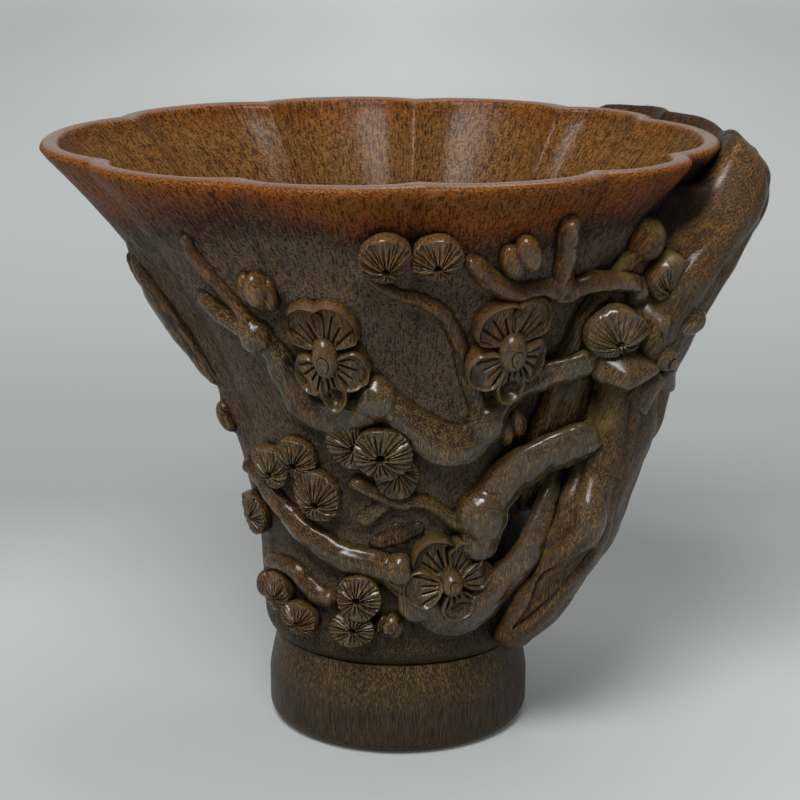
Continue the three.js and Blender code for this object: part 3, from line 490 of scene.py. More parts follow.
class HornColours(bpy.types.PropertyGroup):
    """Colours of the horn."""

    amber: tone(0.200, 0.056, 0.004, "Amber", "The pale rim")
    ember: tone(0.220, 0.050, 0.005, "Ember", "The orange band under the rim")
    garnet: tone(0.118, 0.028, 0.012, "Garnet", "The red-brown band below it")
    # Painted reflection: this pale tone is the sheen of the lip's top, mixed into its colour where it faces up.
    painted_lip_sheen: tone(0.190, 0.115, 0.085, "Mauve", "The worn top of the lip")
    plum: tone(0.042, 0.019, 0.014, "Plum", "Where the red fades into the dark ground")
    umber: tone(0.104, 0.073, 0.053, "Umber", "The dark ground")
    loam: tone(0.040, 0.027, 0.017, "Loam", "The dark foot")
    # Pitch is the black of flecks and pores, and also the painted shade of crevices, creases and low relief next to
    # the wall.
    pitch: tone(0.006, 0.004, 0.003, "Pitch", "Flecks and deep grooves")
    bark: tone(0.014, 0.008, 0.004, "Bark", "The dark of the relief between its golden fibres")
    gold: tone(0.250, 0.135, 0.028, "Gold", "Golden fibres")
    rust: tone(0.220, 0.082, 0.008, "Rust", "Orange fibres")
    # Honey is the pale of worn edges and grain specks, and also a painted sheen on high relief.
    honey: tone(0.130, 0.090, 0.050, "Honey", "Worn high places")
    ochre: tone(0.175, 0.068, 0.012, "Ochre", "The inside of the mouth")
    dust: tone(0.190, 0.138, 0.042, "Dust", "Old dust in the crevices")


class StudioSettings(bpy.types.PropertyGroup):
    """The camera, the floor and the lights."""

    distance: length(0.41, "Camera distance", "From the camera to the point that it looks at")
    aim_height: length(0.0638, "Aim height", "Height of the point that the camera looks at")
    aim_shift: length(0.000385, "Aim shift", "How far right of the cup's axis the camera looks")
    elevation: bpy.props.FloatProperty(
        name="Elevation", description="The camera's angle above the horizon", default=math.radians(17.2),
        subtype="ANGLE", unit="ROTATION")
    lens: level(95.85, "Lens", "Focal length in millimetres")
    floor_colour: tone(0.45, 0.47, 0.46, "Floor", "Colour of the floor")
    wall_colour: tone(0.56, 0.58, 0.57, "Backdrop", "Colour of the backdrop")
    backdrop_glow: level(0.6, "Backdrop glow", "How much paler the backdrop looks than it is lit")
    key_power: level(8.5, "Key power", "Power of the large soft light above the front, in watts")
    top_power: level(3.2, "Top power", "Power of the light above, in watts")
    fill_power: level(0.9, "Fill power", "Power of the light from the left, in watts")
    sky_strength: level(0.19, "Sky strength", "Strength of the even light all round")


def clear_selection():
    """Leaves edit mode and deselects everything."""
    if bpy.context.object and bpy.context.object.mode != "OBJECT":
        bpy.ops.object.mode_set(mode="OBJECT")
    bpy.ops.object.select_all(action="DESELECT")


def pick(*pieces):
    """Selects these pieces alone, the first as the active one."""
    clear_selection()
    for piece in pieces:
        piece.select_set(True)
    bpy.context.view_layer.objects.active = pieces[0]


def apply_place():
    """Moves the selected pieces' places, turns and sizes into their meshes."""
    bpy.ops.object.transform_apply(location=True, rotation=True, scale=True)


@contextmanager
def edit_mode():
    """Edit mode for the active piece, left again at the end."""
    bpy.ops.object.mode_set(mode="EDIT")
    yield
    bpy.ops.object.mode_set(mode="OBJECT")


def extrude_up(distance, back=0):
    """Extrudes what is selected up, and back where that is given."""
    bpy.ops.mesh.extrude_region_move(TRANSFORM_OT_translate={"value": (0, back, distance)})


def apply_modifier(piece, kind, **settings):
    """Adds a modifier and applies it."""
    pick(piece)
    modifier = piece.modifiers.new(kind.title(), kind)
    for key, value in settings.items():
        setattr(modifier, key, value)
    bpy.ops.object.modifier_apply(modifier=modifier.name)


def copied(piece, name):
    """A copy of a piece with a mesh of its own."""
    twin = piece.copy()
    twin.data = piece.data.copy()
    twin.name = name
    bpy.context.collection.objects.link(twin)
    return twin


def joined(pieces, name):
    """One piece made of several."""
    pick(*pieces)
    if len(pieces) > 1:
        bpy.ops.object.join()
    piece = bpy.context.object
    piece.name = name
    return piece


def points_of(piece, kind="co"):
    """A piece's vertices, or with "normal" their normals, as rows of numbers."""
    rows = np.empty(len(piece.data.vertices) * 3, np.float32)
    piece.data.vertices.foreach_get(kind, rows)
    return rows.reshape(-1, 3).astype(float)


def place_points(piece, rows):
    """Moves a piece's vertices to these rows of numbers."""
    piece.data.vertices.foreach_set("co", np.ascontiguousarray(rows, np.float32).ravel())
    piece.data.update()


def select_where(piece, test, faces=False):
    """Selects the vertices or faces of the mesh in edit mode that pass a test, and nothing else."""
    bpy.ops.mesh.select_mode(type="FACE" if faces else "VERT")
    bpy.ops.mesh.select_all(action="DESELECT")
    shape = bmesh.from_edit_mesh(piece.data)
    for element in shape.faces if faces else shape.verts:
        if test(element):
            element.select_set(True)
    shape.select_flush_mode()
    bmesh.update_edit_mesh(piece.data)


def smoothstep(low, high, values):
    """0 below low, 1 above high, and a soft step between."""
    share = np.clip((values - low) / (high - low), 0, 1)
    return share * share * (3 - 2 * share)


def pinch(turns, power):
    """How deep a groove is at these turns, from 0 midway between two grooves to 1 on one."""
    grooves = np.array(GROOVE_TURNS, float)
    edges = np.concatenate([[grooves[-1] - 360], grooves, [grooves[0] + 360]])
    turns = np.mod(turns, 360)
    index = np.searchsorted(edges, turns, side="right") - 1
    share = (turns - edges[index]) / (edges[index + 1] - edges[index])
    return (1 - np.sin(np.pi * share)) ** power


def half_axes(levels):
    """The wall's half length and half depth at these levels, and its shift."""
    cup = bpy.context.scene.cup_sizes
    climb = np.maximum(levels, 0)
    spread = climb ** FLARE_POWER
    half_length = cup.waist_half_length + (cup.rim_half_length - cup.waist_half_length) * spread
    half_depth = cup.waist_half_depth + (cup.rim_half_depth - cup.waist_half_depth) * spread
    return half_length, half_depth, AXIS_X - cup.rim_shift * climb ** 2


def wall(turns, levels, smooth=False):
    """Points of the outer wall; a smooth wall leaves the grooves out."""
    cup = bpy.context.scene.cup_sizes
    turns, levels = np.broadcast_arrays(np.asarray(turns, float), np.asarray(levels, float))
    heights = cup.foot_height + levels * (cup.cup_height - cup.foot_height)
    half_length, half_depth, axis_x = half_axes(levels)
    tuck_share = np.clip(1 - (heights - cup.foot_height) / cup.heel_radius, 0, 1)
    tuck = cup.heel_tuck * (1 - np.sqrt(1 - tuck_share ** 2))
    climb = np.maximum(levels, 0)
    groove = 0 if smooth else cup.lobe_depth * climb ** GROOVE_POWER * pinch(turns, GROOVE_POWER)
    half_length = half_length - tuck - groove
    half_depth = half_depth - tuck - groove * cup.rim_half_depth / cup.rim_half_length
    angles = np.radians(turns)
    return np.stack(
        [axis_x + half_length * np.cos(angles), AXIS_Y + half_depth * np.sin(angles), heights], axis=-1)


def outward(turns, levels):
    """The outward direction of the smooth wall."""
    turn_step, level_step = 0.5, 0.004
    here = wall(turns, levels, True)
    around = wall(turns + turn_step, levels, True) - here
    upward = wall(turns, levels + level_step, True) - here
    normals = np.cross(around, upward)
    return normals / np.linalg.norm(normals, axis=-1, keepdims=True)


def proud_of_wall(turns, levels, proud, smooth=False):
    """Points a distance proud of the wall."""
    return wall(turns, levels, smooth) + outward(turns, levels) * np.asarray(proud)[..., None]


def strides(turns, levels, standoffs):
    """How far the surface at a standoff travels for each degree of turn and for each whole level."""
    level_step = 0.01
    here = proud_of_wall(turns, levels, standoffs, True)
    per_turn = np.linalg.norm(proud_of_wall(turns + 1, levels, standoffs, True) - here, axis=-1)
    risen = proud_of_wall(turns, levels + level_step, standoffs, True)
    return per_turn, np.linalg.norm(risen - here, axis=-1) / level_step


def laid(turns, levels, standoffs, aside, upward, proud):
    """Points reached from places on the wall by going aside and upward over it."""
    turns, levels, standoffs = np.broadcast_arrays(
        *(np.asarray(part, float) for part in (turns, levels, standoffs)))
    per_turn, per_level = strides(turns, levels, standoffs)
    return proud_of_wall(turns + aside / per_turn, levels + upward / per_level, proud)


def turned(across, upward, degrees):
    """Flat places turned about the middle."""
    angle = math.radians(degrees)
    return (across * math.cos(angle) - upward * math.sin(angle), across * math.sin(angle) + upward * math.cos(angle))


def wander(points, scale, seed):
    """Soft noise from -1 to 1 at each point, with features about scale across."""
    shift = Vector((seed * 7.3, seed * 3.1, seed * 5.7))
    return np.array([noise.noise(Vector(point) / scale + shift) for point in points])


def catmull_rom(rows, shares):
    """A smooth curve through rows of numbers, read at shares of its length."""
    rows = np.asarray(rows, float)
    padded = np.vstack([2 * rows[0] - rows[1], rows, 2 * rows[-1] - rows[-2]])
    spots = np.asarray(shares) * (len(rows) - 1)
    starts = np.minimum(spots.astype(int), len(rows) - 2)
    ahead = (spots - starts)[:, None]
    first, here, after, last = (padded[starts + step] for step in range(4))
    leave, arrive = (after - first) / 2, (last - here) / 2
    cubic = 2 * (here - after) + leave + arrive
    square = 3 * (after - here) - 2 * leave - arrive
    return here + leave * ahead + square * ahead ** 2 + cubic * ahead ** 3


def course_of(route, spacing):
    """Evenly spaced rows of turn, level, width, relief and standoff shares along a route."""
    rows = [(*spot, spot[2], 0) if len(spot) == 3 else (*spot, 0)[:5] for spot in route]
    trial = catmull_rom(rows, np.linspace(0, 1, COURSE_POINTS))
    steps = np.linalg.norm(np.diff(wall(trial[:, 0], trial[:, 1], True), axis=0), axis=1)
    travelled = np.concatenate([[0], np.cumsum(steps)])
    count = max(int(travelled[-1] / spacing), 6)
    shares = np.interp(np.linspace(0, travelled[-1], count + 1), travelled, np.linspace(0, 1, COURSE_POINTS))
    return catmull_rom(rows, shares)


def tube(name, sectors, rings):
    """A straight tube of rings one unit apart, drawn to a point at both ends."""
    clear_selection()
    bpy.ops.mesh.primitive_circle_add(vertices=sectors, radius=1, fill_type="NOTHING")
    piece = bpy.context.object
    piece.name = name
    with edit_mode():
        for _ in range(rings - 1):
            extrude_up(1)
        extrude_up(0.5)
        bpy.ops.mesh.merge(type="CENTER")
        select_where(piece, lambda vertex: abs(vertex.co.z) < 0.1)
        extrude_up(-0.5)
        bpy.ops.mesh.merge(type="CENTER")
        bpy.ops.mesh.select_all(action="SELECT")
        bpy.ops.mesh.normals_make_consistent(inside=False)
    return piece


def rings_and_angles(piece, rings):
    """Each vertex's ring number, its angle, and how far out from its ring's middle it lies."""
    rows = points_of(piece)
    ring = np.clip(np.round(rows[:, 2]), 0, rings - 1).astype(int)
    pole = (rows[:, 2] < -0.25) | (rows[:, 2] > rings - 0.75)
    return ring, np.arctan2(rows[:, 1], rows[:, 0]), np.where(pole, 0.0, 1.0)


def limb(name, route, width, relief, flutes, seed, tilt=0.0, ridge=0.0, lean=0, sectors=LIMB_SECTORS):
    """A limb carried along a route over the wall, its underside run into the wall.

    Its flutes are grooves along it, its tilt lifts one edge above the other, its ridge draws it up
    to a roof's edge, and its lean brings its lower edge in to the wall.
    """
    carving = bpy.context.scene.carving_sizes
    course = course_of(route, carving.ring_spacing)
    rings = len(course)
    piece = tube(name, sectors, rings)
    ring, angle, out = rings_and_angles(piece, rings)
    turn, height, width_share, relief_share, standoff_share = course[ring].T
    ahead = np.gradient(course[:, :2], axis=0)[ring]
    standoff = np.maximum(standoff_share, 0) * carving.trunk_standoff
    per_turn, per_level = strides(turn, height, standoff)
    heading = np.arctan2(ahead[:, 1] * per_level, ahead[:, 0] * per_turn)
    girth = 1 + 0.03 * np.sin(ring * 0.55 + 2 * seed) + 0.03 * np.sin(ring * 0.23 + seed)
    half_width = width_share * width / 2 * girth
    from_end = np.minimum(ring, rings - 1 - ring) * carving.ring_spacing
    ending = np.clip(from_end / np.maximum((1 - 0.4 * (ridge > 0)) * half_width, 1e-6), 0, 1)
    blunt = 0.5 + 0.5 * np.sqrt(1 - (1 - ending) ** 2)
    twist = ring * 0.03 + 0.7 * np.sin(ring * 0.09 + seed)
    groove = (1 - np.abs(np.sin(3.5 * angle + twist))) ** 2
    rib = 1 + flutes * (0.3 - groove)
    across = np.cos(angle) * rib * out
    lift = np.sin(angle) * out
    full = relief_share * relief
    free = np.clip(2 * standoff / full, 0, 1)
    roundness = 0.3 + 0.7 * free
    crown = (1 - ridge) * np.clip(lift, 0, 1) ** 0.8 + ridge * (1 - np.abs(np.cos(angle))) * 1.1
    crown = crown * (1 - tilt * np.cos(heading) * np.cos(angle))
    rise = np.where(lift < 0, -np.abs(lift) ** roundness, crown * blunt)
    standoff = standoff * (1 - lean * np.maximum(-np.sin(heading) * across, 0))
    base = (1 - free) * -carving.sink + free * (standoff + carving.gap)
    crest = standoff + carving.gap + full
    proud = (base + crest) / 2 + (crest - base) / 2 * rise * np.where(lift > 0, rib, 1)
    offset = half_width * blunt * across
    aside, upward = -offset * np.sin(heading), offset * np.cos(heading)
    rows = laid(turn, height, standoff, aside, upward, proud)
    bulge = wander(rows, 0.006, seed) + 0.5 * wander(rows, 0.0025, seed + 3)
    rows += outward(turn, height) * (bulge * carving.bark_swell * np.clip(lift + 0.3, 0, 1))[:, None]
    place_points(piece, rows)
    return piece


def knot(name, turn, height, radius, proud):
    """A round swelling on a limb."""
    clear_selection()
    centre = laid(turn, height, 0.0, 0.0, 0.0, proud)
    bpy.ops.mesh.primitive_ico_sphere_add(subdivisions=3, radius=radius, location=tuple(centre))
    piece = bpy.context.object
    piece.name = name
    with edit_mode():
        bpy.ops.transform.resize(value=(1, 0.9, 1.15), center_override=tuple(centre))
    apply_place()
    return piece


def grown_together(parts, name, kind):
    """Parts that grow out of each other as one closed skin, whittled by hand."""
    grain, smoothing, rough_hewn = SKINS[kind]
    voxel = bpy.context.scene.carving_sizes.limb_voxel * grain
    piece = joined(parts, name)
    apply_modifier(piece, "REMESH", mode="VOXEL", voxel_size=voxel, use_smooth_shade=True)
    apply_modifier(piece, "SMOOTH", factor=0.5, iterations=smoothing)
    whittle(piece, rough_hewn)
    return piece


def whittle(piece, rough_hewn):
    """Cuts shallow facets and creases into a skin."""
    carving = bpy.context.scene.carving_sizes
    rows = points_of(piece)
    facet = np.abs(wander(rows, 0.0048, 11)) - 0.35 * np.abs(wander(rows, 0.0021, 12))
    rows += points_of(piece, "normal") * (rough_hewn * carving.whittling * facet)[:, None]
    place_points(piece, rows)


def limb_knots(node, width, relief):
    """The knots of one limb."""
    spots = KNOTS.get(node, [])
    return [knot(f"{node}_knot_{index}", turn, height, share * width, lift * relief)
            for index, (turn, height, share, lift) in enumerate(spots)]


def nearest_on(line, rows):
    """Each row's distance to the nearest point of a line, and that point's number."""
    tree = KDTree(len(line))
    for index, point in enumerate(line):
        tree.insert(point, index)
    tree.balance()
    found = [tree.find(row) for row in rows]
    return np.array([hit[2] for hit in found]), np.array([hit[1] for hit in found])


def scar(piece):
    """Cuts the long scar of a lost bough into the trunk's foot: a sunk leaf shape between two cut lips."""
    carving = bpy.context.scene.carving_sizes
    rows = points_of(piece)
    lines, pushes = [], []
    for route in (SCAR_UPPER_LIP, SCAR_LOWER_LIP):
        turn, height, proud = catmull_rom(route, np.linspace(0, 1, SCAR_POINTS)).T
        lines.append(proud_of_wall(turn, height, proud * carving.trunk_thickness))
        pushes.append(outward(turn, height))
    near_upper, upper_spot = nearest_on(lines[0], rows)
    near_lower, lower_spot = nearest_on(lines[1], rows)
    across = np.linalg.norm(lines[0][upper_spot] - lines[1][lower_spot], axis=1)
    between = (near_upper + near_lower) / (across + carving.scar_lip)
    sunk = 1 - smoothstep(1.0, 1.25, between)
    cut = np.exp(-(np.minimum(near_upper, near_lower) / carving.scar_lip) ** 2)
    depth = carving.scar_depth * (0.5 * sunk + 0.5 * cut)
    rows -= pushes[0][upper_spot] * depth[:, None]
    place_points(piece, rows)


def swell(piece):
    """Raises the trunk's soft swells and sinks its pits."""
    rows = points_of(piece)
    for turn, height, proud, radius, push in SWELLS:
        centre = proud_of_wall(turn, height, proud)
        near = np.exp(-((rows - centre) ** 2).sum(axis=1) / radius ** 2)
        rows += outward(turn, height) * (push * near)[:, None]
    place_points(piece, rows)
    handled = piece.vertex_groups.new(name="handled")
    weights = np.clip(nearness(rows, POLISHED_SPOTS[:1]), 0, 1)
    for index in np.flatnonzero(weights > 0.02):
        handled.add([int(index)], float(weights[index]), "REPLACE")
    apply_modifier(piece, "SMOOTH", factor=0.5, iterations=POLISHING_ROUNDS, vertex_group="handled")
    piece.vertex_groups.clear()


def furrow(piece):
    """Runs shallow furrows down the trunk's outer side, as bark has."""
    carving = bpy.context.scene.carving_sizes
    rows = points_of(piece)
    drift = wander(rows * (1, 1, 0.4), 0.007, 31)
    crest = np.abs(np.sin(math.pi * rows[:, 1] / carving.furrow_pitch + 1.5 * drift))
    facing = smoothstep(0.45, 0.85, points_of(piece, "normal")[:, 0])
    rows[:, 0] -= carving.furrow_depth * facing * (1 - crest) ** 1.5
    place_points(piece, rows)


def petal_blank():
    """A flat petal, modelled once: a round slab finely ringed on top, one unit across its radius."""
    clear_selection()
    bpy.ops.mesh.primitive_cylinder_add(vertices=PETAL_SECTORS, radius=1, depth=1, location=(0, 0, 0.5))
    blank = bpy.context.object
    blank.name = "petal_blank"
    with edit_mode():
        select_where(blank, lambda face: face.normal.z > 0.5, faces=True)
        for _ in range(PETAL_RINGS):
            bpy.ops.mesh.inset(thickness=0.9 / PETAL_RINGS)
        bpy.ops.mesh.poke()
    apply_place()
    apply_modifier(blank, "SUBSURF", levels=1, render_levels=1, subdivision_type="SIMPLE")
    return blank


def petal(blank, name, direction, reach, half_width, kind, order):
    """One petal of a blossom of radius 1 and height 1, with a rim and cuts that spread from the heart."""
    carving = bpy.context.scene.carving_sizes
    piece = copied(blank, name)
    rows = points_of(piece)
    out = np.hypot(rows[:, 0], rows[:, 1]) * np.where(rows[:, 2] > 0.25, 1, 0.84)
    around = np.arctan2(rows[:, 1], rows[:, 0])
    ahead = np.cos(around)
    widening, power = TIP_SHAPES.get(kind, (0, 1))
    narrowing = np.where(ahead < 0, 1 - 0.5 * np.abs(ahead) ** 1.4, 1 + widening * np.abs(ahead) ** power)
    wavy = 1 + 0.025 * np.sin(4 * around + order) + 0.012 * np.sin(9 * around + 2 * order)
    along = 0.57 + np.where(ahead > 0, 0.43, 0.47) * out * ahead * wavy
    aside = half_width * out * np.sin(around) * narrowing * wavy

    def hollow_at(spot, length_share, width_share, power=1.0):
        """A soft hollow on the petal's middle line."""
        return np.exp(-(((along - spot) / length_share) ** 2 + (aside / (width_share * half_width)) ** 2) ** power)

    if kind == "dish":
        rim = np.exp(-((out - 0.9) / 0.07) ** 2) * smoothstep(-0.5, 0.3, ahead)
        top = 0.56 + 0.04 * along + 0.16 * rim + 0.08 * smoothstep(0.6, 0.9, out)
    elif kind == "plain":
        top = 0.96 - 0.1 * along - 0.36 * (aside / half_width) ** 2
    elif kind == "leaf":
        top = 0.74 - 0.08 * along - 0.12 * hollow_at(0.82, 0.14, 0.6) + 0.06 * np.exp(-((out - 0.86) / 0.1) ** 2)
    else:
        spoon = hollow_at(0.72, 0.16, 0.55, 1.5)
        top = 0.7 - 0.05 * along - 0.17 * spoon + 0.08 * np.exp(-((out - 0.8) / 0.12) ** 2)
    edge = smoothstep(0.65 if kind == "plain" else 0.86, 1.0, out)
    top = top + 0.03 * math.sin(order * 2.4) - 0.42 * edge
    off_middle = np.degrees(np.arctan2(aside, along)) + 3 * math.sin(order)
    number = np.floor(off_middle / CUT_SPACING)
    nearest = np.abs(np.mod(off_middle / CUT_SPACING, 1) - 0.5) * CUT_SPACING
    reach_of_cut = CUT_REACH[kind] + 0.07 * np.sin(number * 2.1 + order)
    thin = 1.3 + 1.4 * (1 - smoothstep(0.3, 0.8, along))
    veins = np.exp(-(nearest / thin) ** 2) * smoothstep(0.24, 0.32, along)
    veins = veins * (1 - smoothstep(-0.05, 0.05, along - reach_of_cut)) * (1 - smoothstep(0.74, 0.84, out))
    height = np.where(rows[:, 2] > 0.5, top - veins * carving.vein_depth / carving.blossom_relief, 0.0)
    height = np.where((rows[:, 2] > 0.25) & (rows[:, 2] < 0.75), top * 0.45, height)
    place_points(piece, np.stack([*turned(along * reach, aside, direction), height], axis=-1))
    return piece


def blossom_heart(name, size):
    """The knob in the middle of a blossom and the low disc that its petals spring from."""
    clear_selection()
    bpy.ops.mesh.primitive_uv_sphere_add(segments=BALL_SEGMENTS, ring_count=BALL_RINGS, radius=1)
    piece = bpy.context.object
    piece.name = name
    with edit_mode():
        select_where(piece, lambda face: face.calc_center_median().z > 0.9, faces=True)
        bpy.ops.mesh.inset(thickness=0.06, depth=-0.05)
        bpy.ops.mesh.inset(thickness=0.1, depth=0.07)
    apply_modifier(piece, "SMOOTH", factor=0.5, iterations=2)
    rows = points_of(piece)
    rows[:, :2] *= (0.29 * size, 0.34 * size)
    rows[:, 2] = 0.56 + 0.44 * np.sign(rows[:, 2]) * np.abs(rows[:, 2]) ** 0.9
    place_points(piece, rows)
    bpy.ops.mesh.primitive_cylinder_add(vertices=40, radius=0.36, depth=0.5, location=(0, 0, 0.25))
    apply_place()
    return joined([piece, bpy.context.object], name)


def settle(piece, node, spot, radius, relief, spin):
    """Lays a boss that was modelled flat on its place on the wall, its face leaning as carved."""
    carving = bpy.context.scene.carving_sizes
    turn, height, wide, tall, relief_share, perch = spot[:6]
    standoff = perch * carving.perch_height
    rows = points_of(piece)
    aside, upward = turned(rows[:, 0], rows[:, 1], spin)
    aside, upward = aside * wide * radius, upward * tall * radius
    base = standoff * 0.5 if standoff else -carving.sink
    crest = standoff + carving.gap + relief * relief_share
    lean_aside, lean_up = LEANS.get(node, (0, 0))
    proud = base + (crest - base + lean_aside * aside + lean_up * upward) * rows[:, 2]
    place_points(piece, laid(turn, height, standoff, aside, upward, proud))


def stalk(name, spot, radius):
    """The stalk under a perched boss."""
    carving = bpy.context.scene.carving_sizes
    standoff = spot[5] * carving.perch_height
    piece = tube(name, STALK_SECTORS, STALK_RINGS)
    ring, angle, out = rings_and_angles(piece, STALK_RINGS)
    share = ring / (STALK_RINGS - 1)
    reach = radius * (0.5 + 0.12 * np.cos(share * math.pi)) * out
    start = max(standoff - carving.stalk_length, -carving.sink)
    proud = start + (standoff + STALK_OVERLAP - start) * share
    place_points(piece, laid(
        spot[0], spot[1], standoff, reach * np.cos(angle), reach * np.sin(angle), proud))
    return piece


def keep_boss(piece, node, spot, radius, relief, material, spin=0):
    """Lays a boss on its place, on a stalk where it is perched, and keeps it."""
    settle(piece, node, spot, radius, relief, spin)
    if spot[5]:
        piece = joined([piece, stalk(f"{node}_stalk", spot, radius)], node)
    keep(piece, node, material)


def needle_wheel():
    """A flat wheel of pine needles, modelled once: fluted, one unit in radius and height, with a drilled hub."""
    clear_selection()
    bpy.ops.mesh.primitive_cylinder_add(vertices=3 * NEEDLES, radius=1, depth=1, location=(0, 0, 0.5))
    wheel = bpy.context.object
    wheel.name = "needle_wheel"
    apply_place()
    spoke = 2 * math.pi / (3 * NEEDLES)

    def in_groove(vertex):
        """Whether a vertex lies at the bottom of a groove between two needles."""
        out = math.hypot(vertex.co.x, vertex.co.y)
        number = round(math.atan2(vertex.co.y, vertex.co.x) / spoke)
        return vertex.co.z > 0.95 and out > 0.18 and number % 3 == 0

    with edit_mode():
        select_where(wheel, lambda face: face.normal.z > 0.5, faces=True)
        for thickness in (0.04, 0.06, 0.2, 0.2, 0.2, 0.1, 0.05):
            bpy.ops.mesh.inset(thickness=thickness)
        extrude_up(-0.5)
        bpy.ops.mesh.inset(thickness=0.05)
        bpy.ops.mesh.poke()
        select_where(wheel, in_groove)
        bpy.ops.transform.translate(value=(0, 0, -0.12))
    apply_modifier(wheel, "SUBSURF", levels=2, render_levels=2)
    return wheel


def shape_wheel(piece, hub, order):
    """Shifts a wheel's hub, domes it and makes its flutes uneven."""
    rows = points_of(piece)
    out = np.hypot(rows[:, 0], rows[:, 1])
    around = np.arctan2(rows[:, 1], rows[:, 0])
    around = around + 0.05 * np.sin(3 * around + order) + 0.03 * np.sin(7 * around + 2.3 * order)
    reach = out * (1 + 0.03 * np.sin(2 * around + order) + 0.02 * np.sin(5 * around + 1.7 * order))
    inner = 1 - np.clip(out, 0, 1) ** 2
    rows[:, 0] = reach * np.cos(around) + hub[0] * inner
    rows[:, 1] = reach * np.sin(around) + hub[1] * inner
    rows[:, 2] *= 1 - 0.14 * np.clip(reach, 0, 1) ** 2 + 0.03 * np.sin(2 * around + order)
    place_points(piece, rows)


def bud_blank(kind):
    """A flat-backed bud, modelled once: one unit in radius and height."""
    clear_selection()
    parts = []
    for centre, size in BUD_PARTS[kind]:
        bpy.ops.mesh.primitive_uv_sphere_add(
            segments=BALL_SEGMENTS, ring_count=BALL_RINGS, radius=1, location=centre, scale=size)
        apply_place()
        parts.append(bpy.context.object)
        clear_selection()
    blank = joined(parts, f"bud_blank_{kind}")
    apply_modifier(blank, "REMESH", mode="VOXEL", voxel_size=0.04, use_smooth_shade=True)
    apply_modifier(blank, "SMOOTH", factor=0.5, iterations=1)
    return blank


def foot_profile():
    """Rings of the foot as (inset, height), from the middle of the recess up to the top."""
    cup = bpy.context.scene.cup_sizes
    ring, edge, recess = cup.foot_ring_width, cup.foot_edge_radius, cup.foot_recess_depth
    rings = [(cup.foot_half_depth * 0.55, recess), (ring + edge * 1.2, recess), (ring + edge * 0.8, recess * 0.8),
             (ring * 1.06, recess * 0.06), (ring, 0)]
    for angle in np.linspace(0, 1, FOOT_EDGE_RINGS) * (math.pi / 2):
        rings.append((edge * (1 - math.sin(angle)), edge * (1 - math.cos(angle))))
    for share in np.linspace(0.25, 1, FOOT_WALL_RINGS):
        inset = cup.foot_top_inset * max(0, (share - 0.4) / 0.6) ** 1.2
        rings.append((inset, edge + (cup.foot_height + FOOT_OVERLAP - edge) * share))
    return rings


def bowl_rings():
    """Rings of the bowl as (part, level or share): up the wall, over the lip and down to the floor."""
    rows = BOWL_ROWS
    spans = {
        "outer": np.concatenate([np.linspace(0, 0.05, 9)[:-1], np.linspace(0.05, 0.975, rows)]),
        "lip": np.linspace(0.04, 0.96, 13), "inner": np.linspace(0.96, 0.1, 52), "floor": np.linspace(0.94, 0.08, 9),
    }
    return [(part, share) for part, shares in spans.items() for share in shares]


def hollow(turns, levels, shrink=1.0):
    """Points of the inner wall, with a soft ridge behind each groove."""
    cup = bpy.context.scene.cup_sizes
    thickness = cup.waist_wall + (cup.lip_thickness - cup.waist_wall) * levels
    ridge = cup.ridge_height * np.clip(levels, 0, 1) ** 2 * pinch(turns, RIDGE_POWER)
    outer = wall(turns, levels)
    axis = np.stack([half_axes(levels)[2], np.full_like(levels, AXIS_Y), outer[..., 2]], axis=-1)
    spoke = outer - axis
    reach = np.linalg.norm(spoke, axis=-1, keepdims=True)
    return axis + spoke / reach * ((reach - (thickness + ridge)[..., None]) * shrink)


def carve_bowl_shape(piece, rings):
    """Moves the rings of a straight tube to the bowl's own shape."""
    cup = bpy.context.scene.cup_sizes
    ring, angle, out = rings_and_angles(piece, len(rings))
    turns = np.degrees(angle)
    parts = np.array([part for part, _ in rings])[ring]
    shares = np.array([share for _, share in rings])[ring]
    body = cup.cup_height - cup.foot_height
    rows = wall(turns, np.where(parts == "outer", shares, 0))
    lip, inner, floor = (parts == part for part in ("lip", "inner", "floor"))
    top = np.full(int(lip.sum()), LIP_LEVEL)
    start, end = wall(turns[lip], top), hollow(turns[lip], top)
    over = (1 - np.cos(np.pi * shares[lip])) / 2
    rows[lip] = start + (end - start) * over[:, None]
    base = cup.foot_height + LIP_LEVEL * body
    rows[lip, 2] = base + (cup.cup_height - base) * np.sin(np.pi * shares[lip]) ** 0.8
    rows[inner] = hollow(turns[inner], shares[inner])
    dish = cup.floor_thickness + cup.floor_dish * np.clip(shares[floor], 0, 1) ** 3 * 0.8
    rows[floor] = hollow(turns[floor], dish / body, shares[floor][:, None])
    rows[out == 0, 0], rows[out == 0, 1] = AXIS_X, AXIS_Y
    place_points(piece, rows)
    return parts, shares, turns


def relief_tree(pieces):
    """A search tree over the faces of several pieces."""
    corners, faces = [], []
    for piece in pieces:
        start = len(corners)
        corners.extend(points_of(piece).tolist())
        faces.extend([start + index for index in face.vertices] for face in piece.data.polygons)
    return BVHTree.FromPolygons(corners, faces)


def raise_ground(piece, parts, shares, turns, tree):
    """Lets the ground climb softly beside the relief and wander like hand-cut horn."""
    carving = bpy.context.scene.carving_sizes
    rows = points_of(piece)
    near = np.full(len(rows), carving.fillet_reach * 2)
    for index in np.flatnonzero((parts == "outer") & (shares > 0.03)):
        found = tree.find_nearest(Vector(rows[index]), carving.fillet_reach * 2)
        if found[0] is not None:
            near[index] = found[3]
    climb = np.clip(1 - near / carving.fillet_reach, 0, 1) ** 2
    calm = np.clip((0.93 - shares) / 0.15, 0, 1) * np.clip(shares / 0.08, 0, 1)
    swell = carving.ground_swell * (wander(rows, 0.011, 4) + 0.6 * wander(rows, 0.0045, 5))
    rise = np.where(parts == "outer", carving.fillet * climb * calm + swell * calm, 0)
    rows += outward(turns, np.clip(shares, 0.01, 1)) * rise[:, None]
    place_points(piece, rows)


